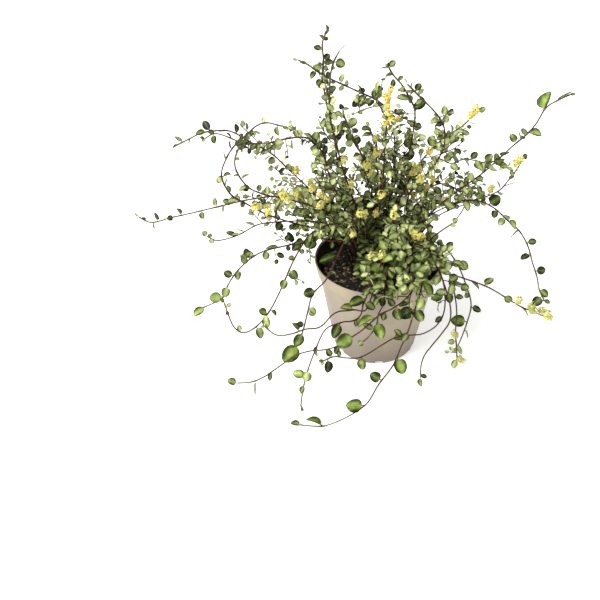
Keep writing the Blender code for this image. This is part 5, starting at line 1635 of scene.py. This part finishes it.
def hang_flowers(stem, shape):
    """A stem's flowers: florets set round each spike, each facing out and up."""
    rng = random.Random(stem.name + " flowers")
    florets = []
    for root, tip in stem.spikes:
        axis = tip - root
        aside = axis.orthogonal().normalized()
        orange = min(offset(root, oval) for oval in RIPE_FLOWERS) < 1
        ripe = RIPE if orange else rng.uniform(0, HALF_RIPE) - UNRIPE * (bushiness(root) <= SPARSE)
        slim = RIPE_SLIM if orange else 1
        for index in range(FLORETS_SHOWN):
            out = aside.copy()
            out.rotate(Matrix.Rotation(index * GOLDEN_ANGLE, 3, axis))
            share = FLORETS_FROM + FLORETS_RUN * index / FLORETS_SHOWN
            centre = root + axis * share + out * rng.uniform(*FLORETS_OUT) * slim
            facing = (out + axis.normalized() * FLORETS_UP).to_track_quat("Z", "Y").to_matrix().to_4x4()
            size = Matrix.Scale(rng.uniform(*FLORET_SIZES) * slim**0.5, 4)
            tone = min(1, max(0, ripe + rng.uniform(0, RIPE_SPREAD)))
            florets.append(copy_of(shape, Matrix.Translation(centre * MM) @ facing @ size, tone=tone))
    finish_piece(join(stem.name + "_flowers", florets), "leafy_stem", stem.name)


def aim_camera():
    """The front view that the routes are read in."""
    lens = bpy.data.cameras.new("front_view")
    lens.lens = 36
    lens.sensor_width = 36
    lens.clip_start = 0.01
    camera = bpy.data.objects.new("front_view", lens)
    bpy.context.scene.collection.objects.link(camera)
    camera.matrix_world = Matrix((VIEW_RIGHT, VIEW_UP, VIEW_NEAR)).transposed().to_4x4()
    camera.location = VIEW_EYE * MM
    bpy.context.scene.camera = camera


def light_studio():
    """A broad soft light from far off, at the upper left and front, and a pale room."""
    deselect()
    bpy.ops.object.light_add(type="SUN", rotation=LAMP_WAY.to_track_quat("Z", "Y").to_euler())
    lamp = bpy.context.object.data
    lamp.energy = LAMP_POWER
    lamp.angle = LAMP_BREADTH
    room = bpy.data.worlds.new("pale_room")
    room.use_nodes = True
    feed(room.node_tree, room.node_tree.nodes["Background"],
         {"Color": linear("ffffff"), "Strength": ROOM_POWER})
    bpy.context.scene.world = room
    bpy.context.scene.view_settings.view_transform = "Standard"


def lay_floor(finish):
    """The pale floor."""
    deselect()
    bpy.ops.mesh.primitive_plane_add(size=8)
    floor = named("pale_floor")
    floor.data.materials.append(finish)


def main():
    """Builds the scene: the studio, then the pot, its soil and the stems with what grows on them."""
    aim_camera()
    light_studio()
    lay_floor(studio_paper())
    stems, space = grow()
    twigs = fill_out(stems, space)
    turn_pot(moulded_polypropylene())
    soil = heap_soil(peat_and_bark("peat_and_bark", SOIL_SHADES, 2.5))
    scatter_crumbs(soil, peat_and_bark("bark_chips", CHIP_SHADES, 3))
    bark = vine_bark()
    skins = [leaf_skin("leaf_upper_skin", UPPER_SHADES, "b9c58c", 0.4),
             leaf_skin("leaf_lower_skin", LOWER_SHADES, "bdc69c", 0.5)]
    shapes = [leaf_shape(name, *form, skins) for name, form in LEAF_SHAPES.items()]
    floret = floret_shape(flower_petals())
    for stem in stems:
        draw_bark(stem, twigs[stem.name], bark)
        hang_leaves(stem, twigs[stem.name], shapes)
        if stem.spikes:
            hang_flowers(stem, floret)
    for shape in [*shapes, floret]:
        bpy.data.objects.remove(shape)


main()
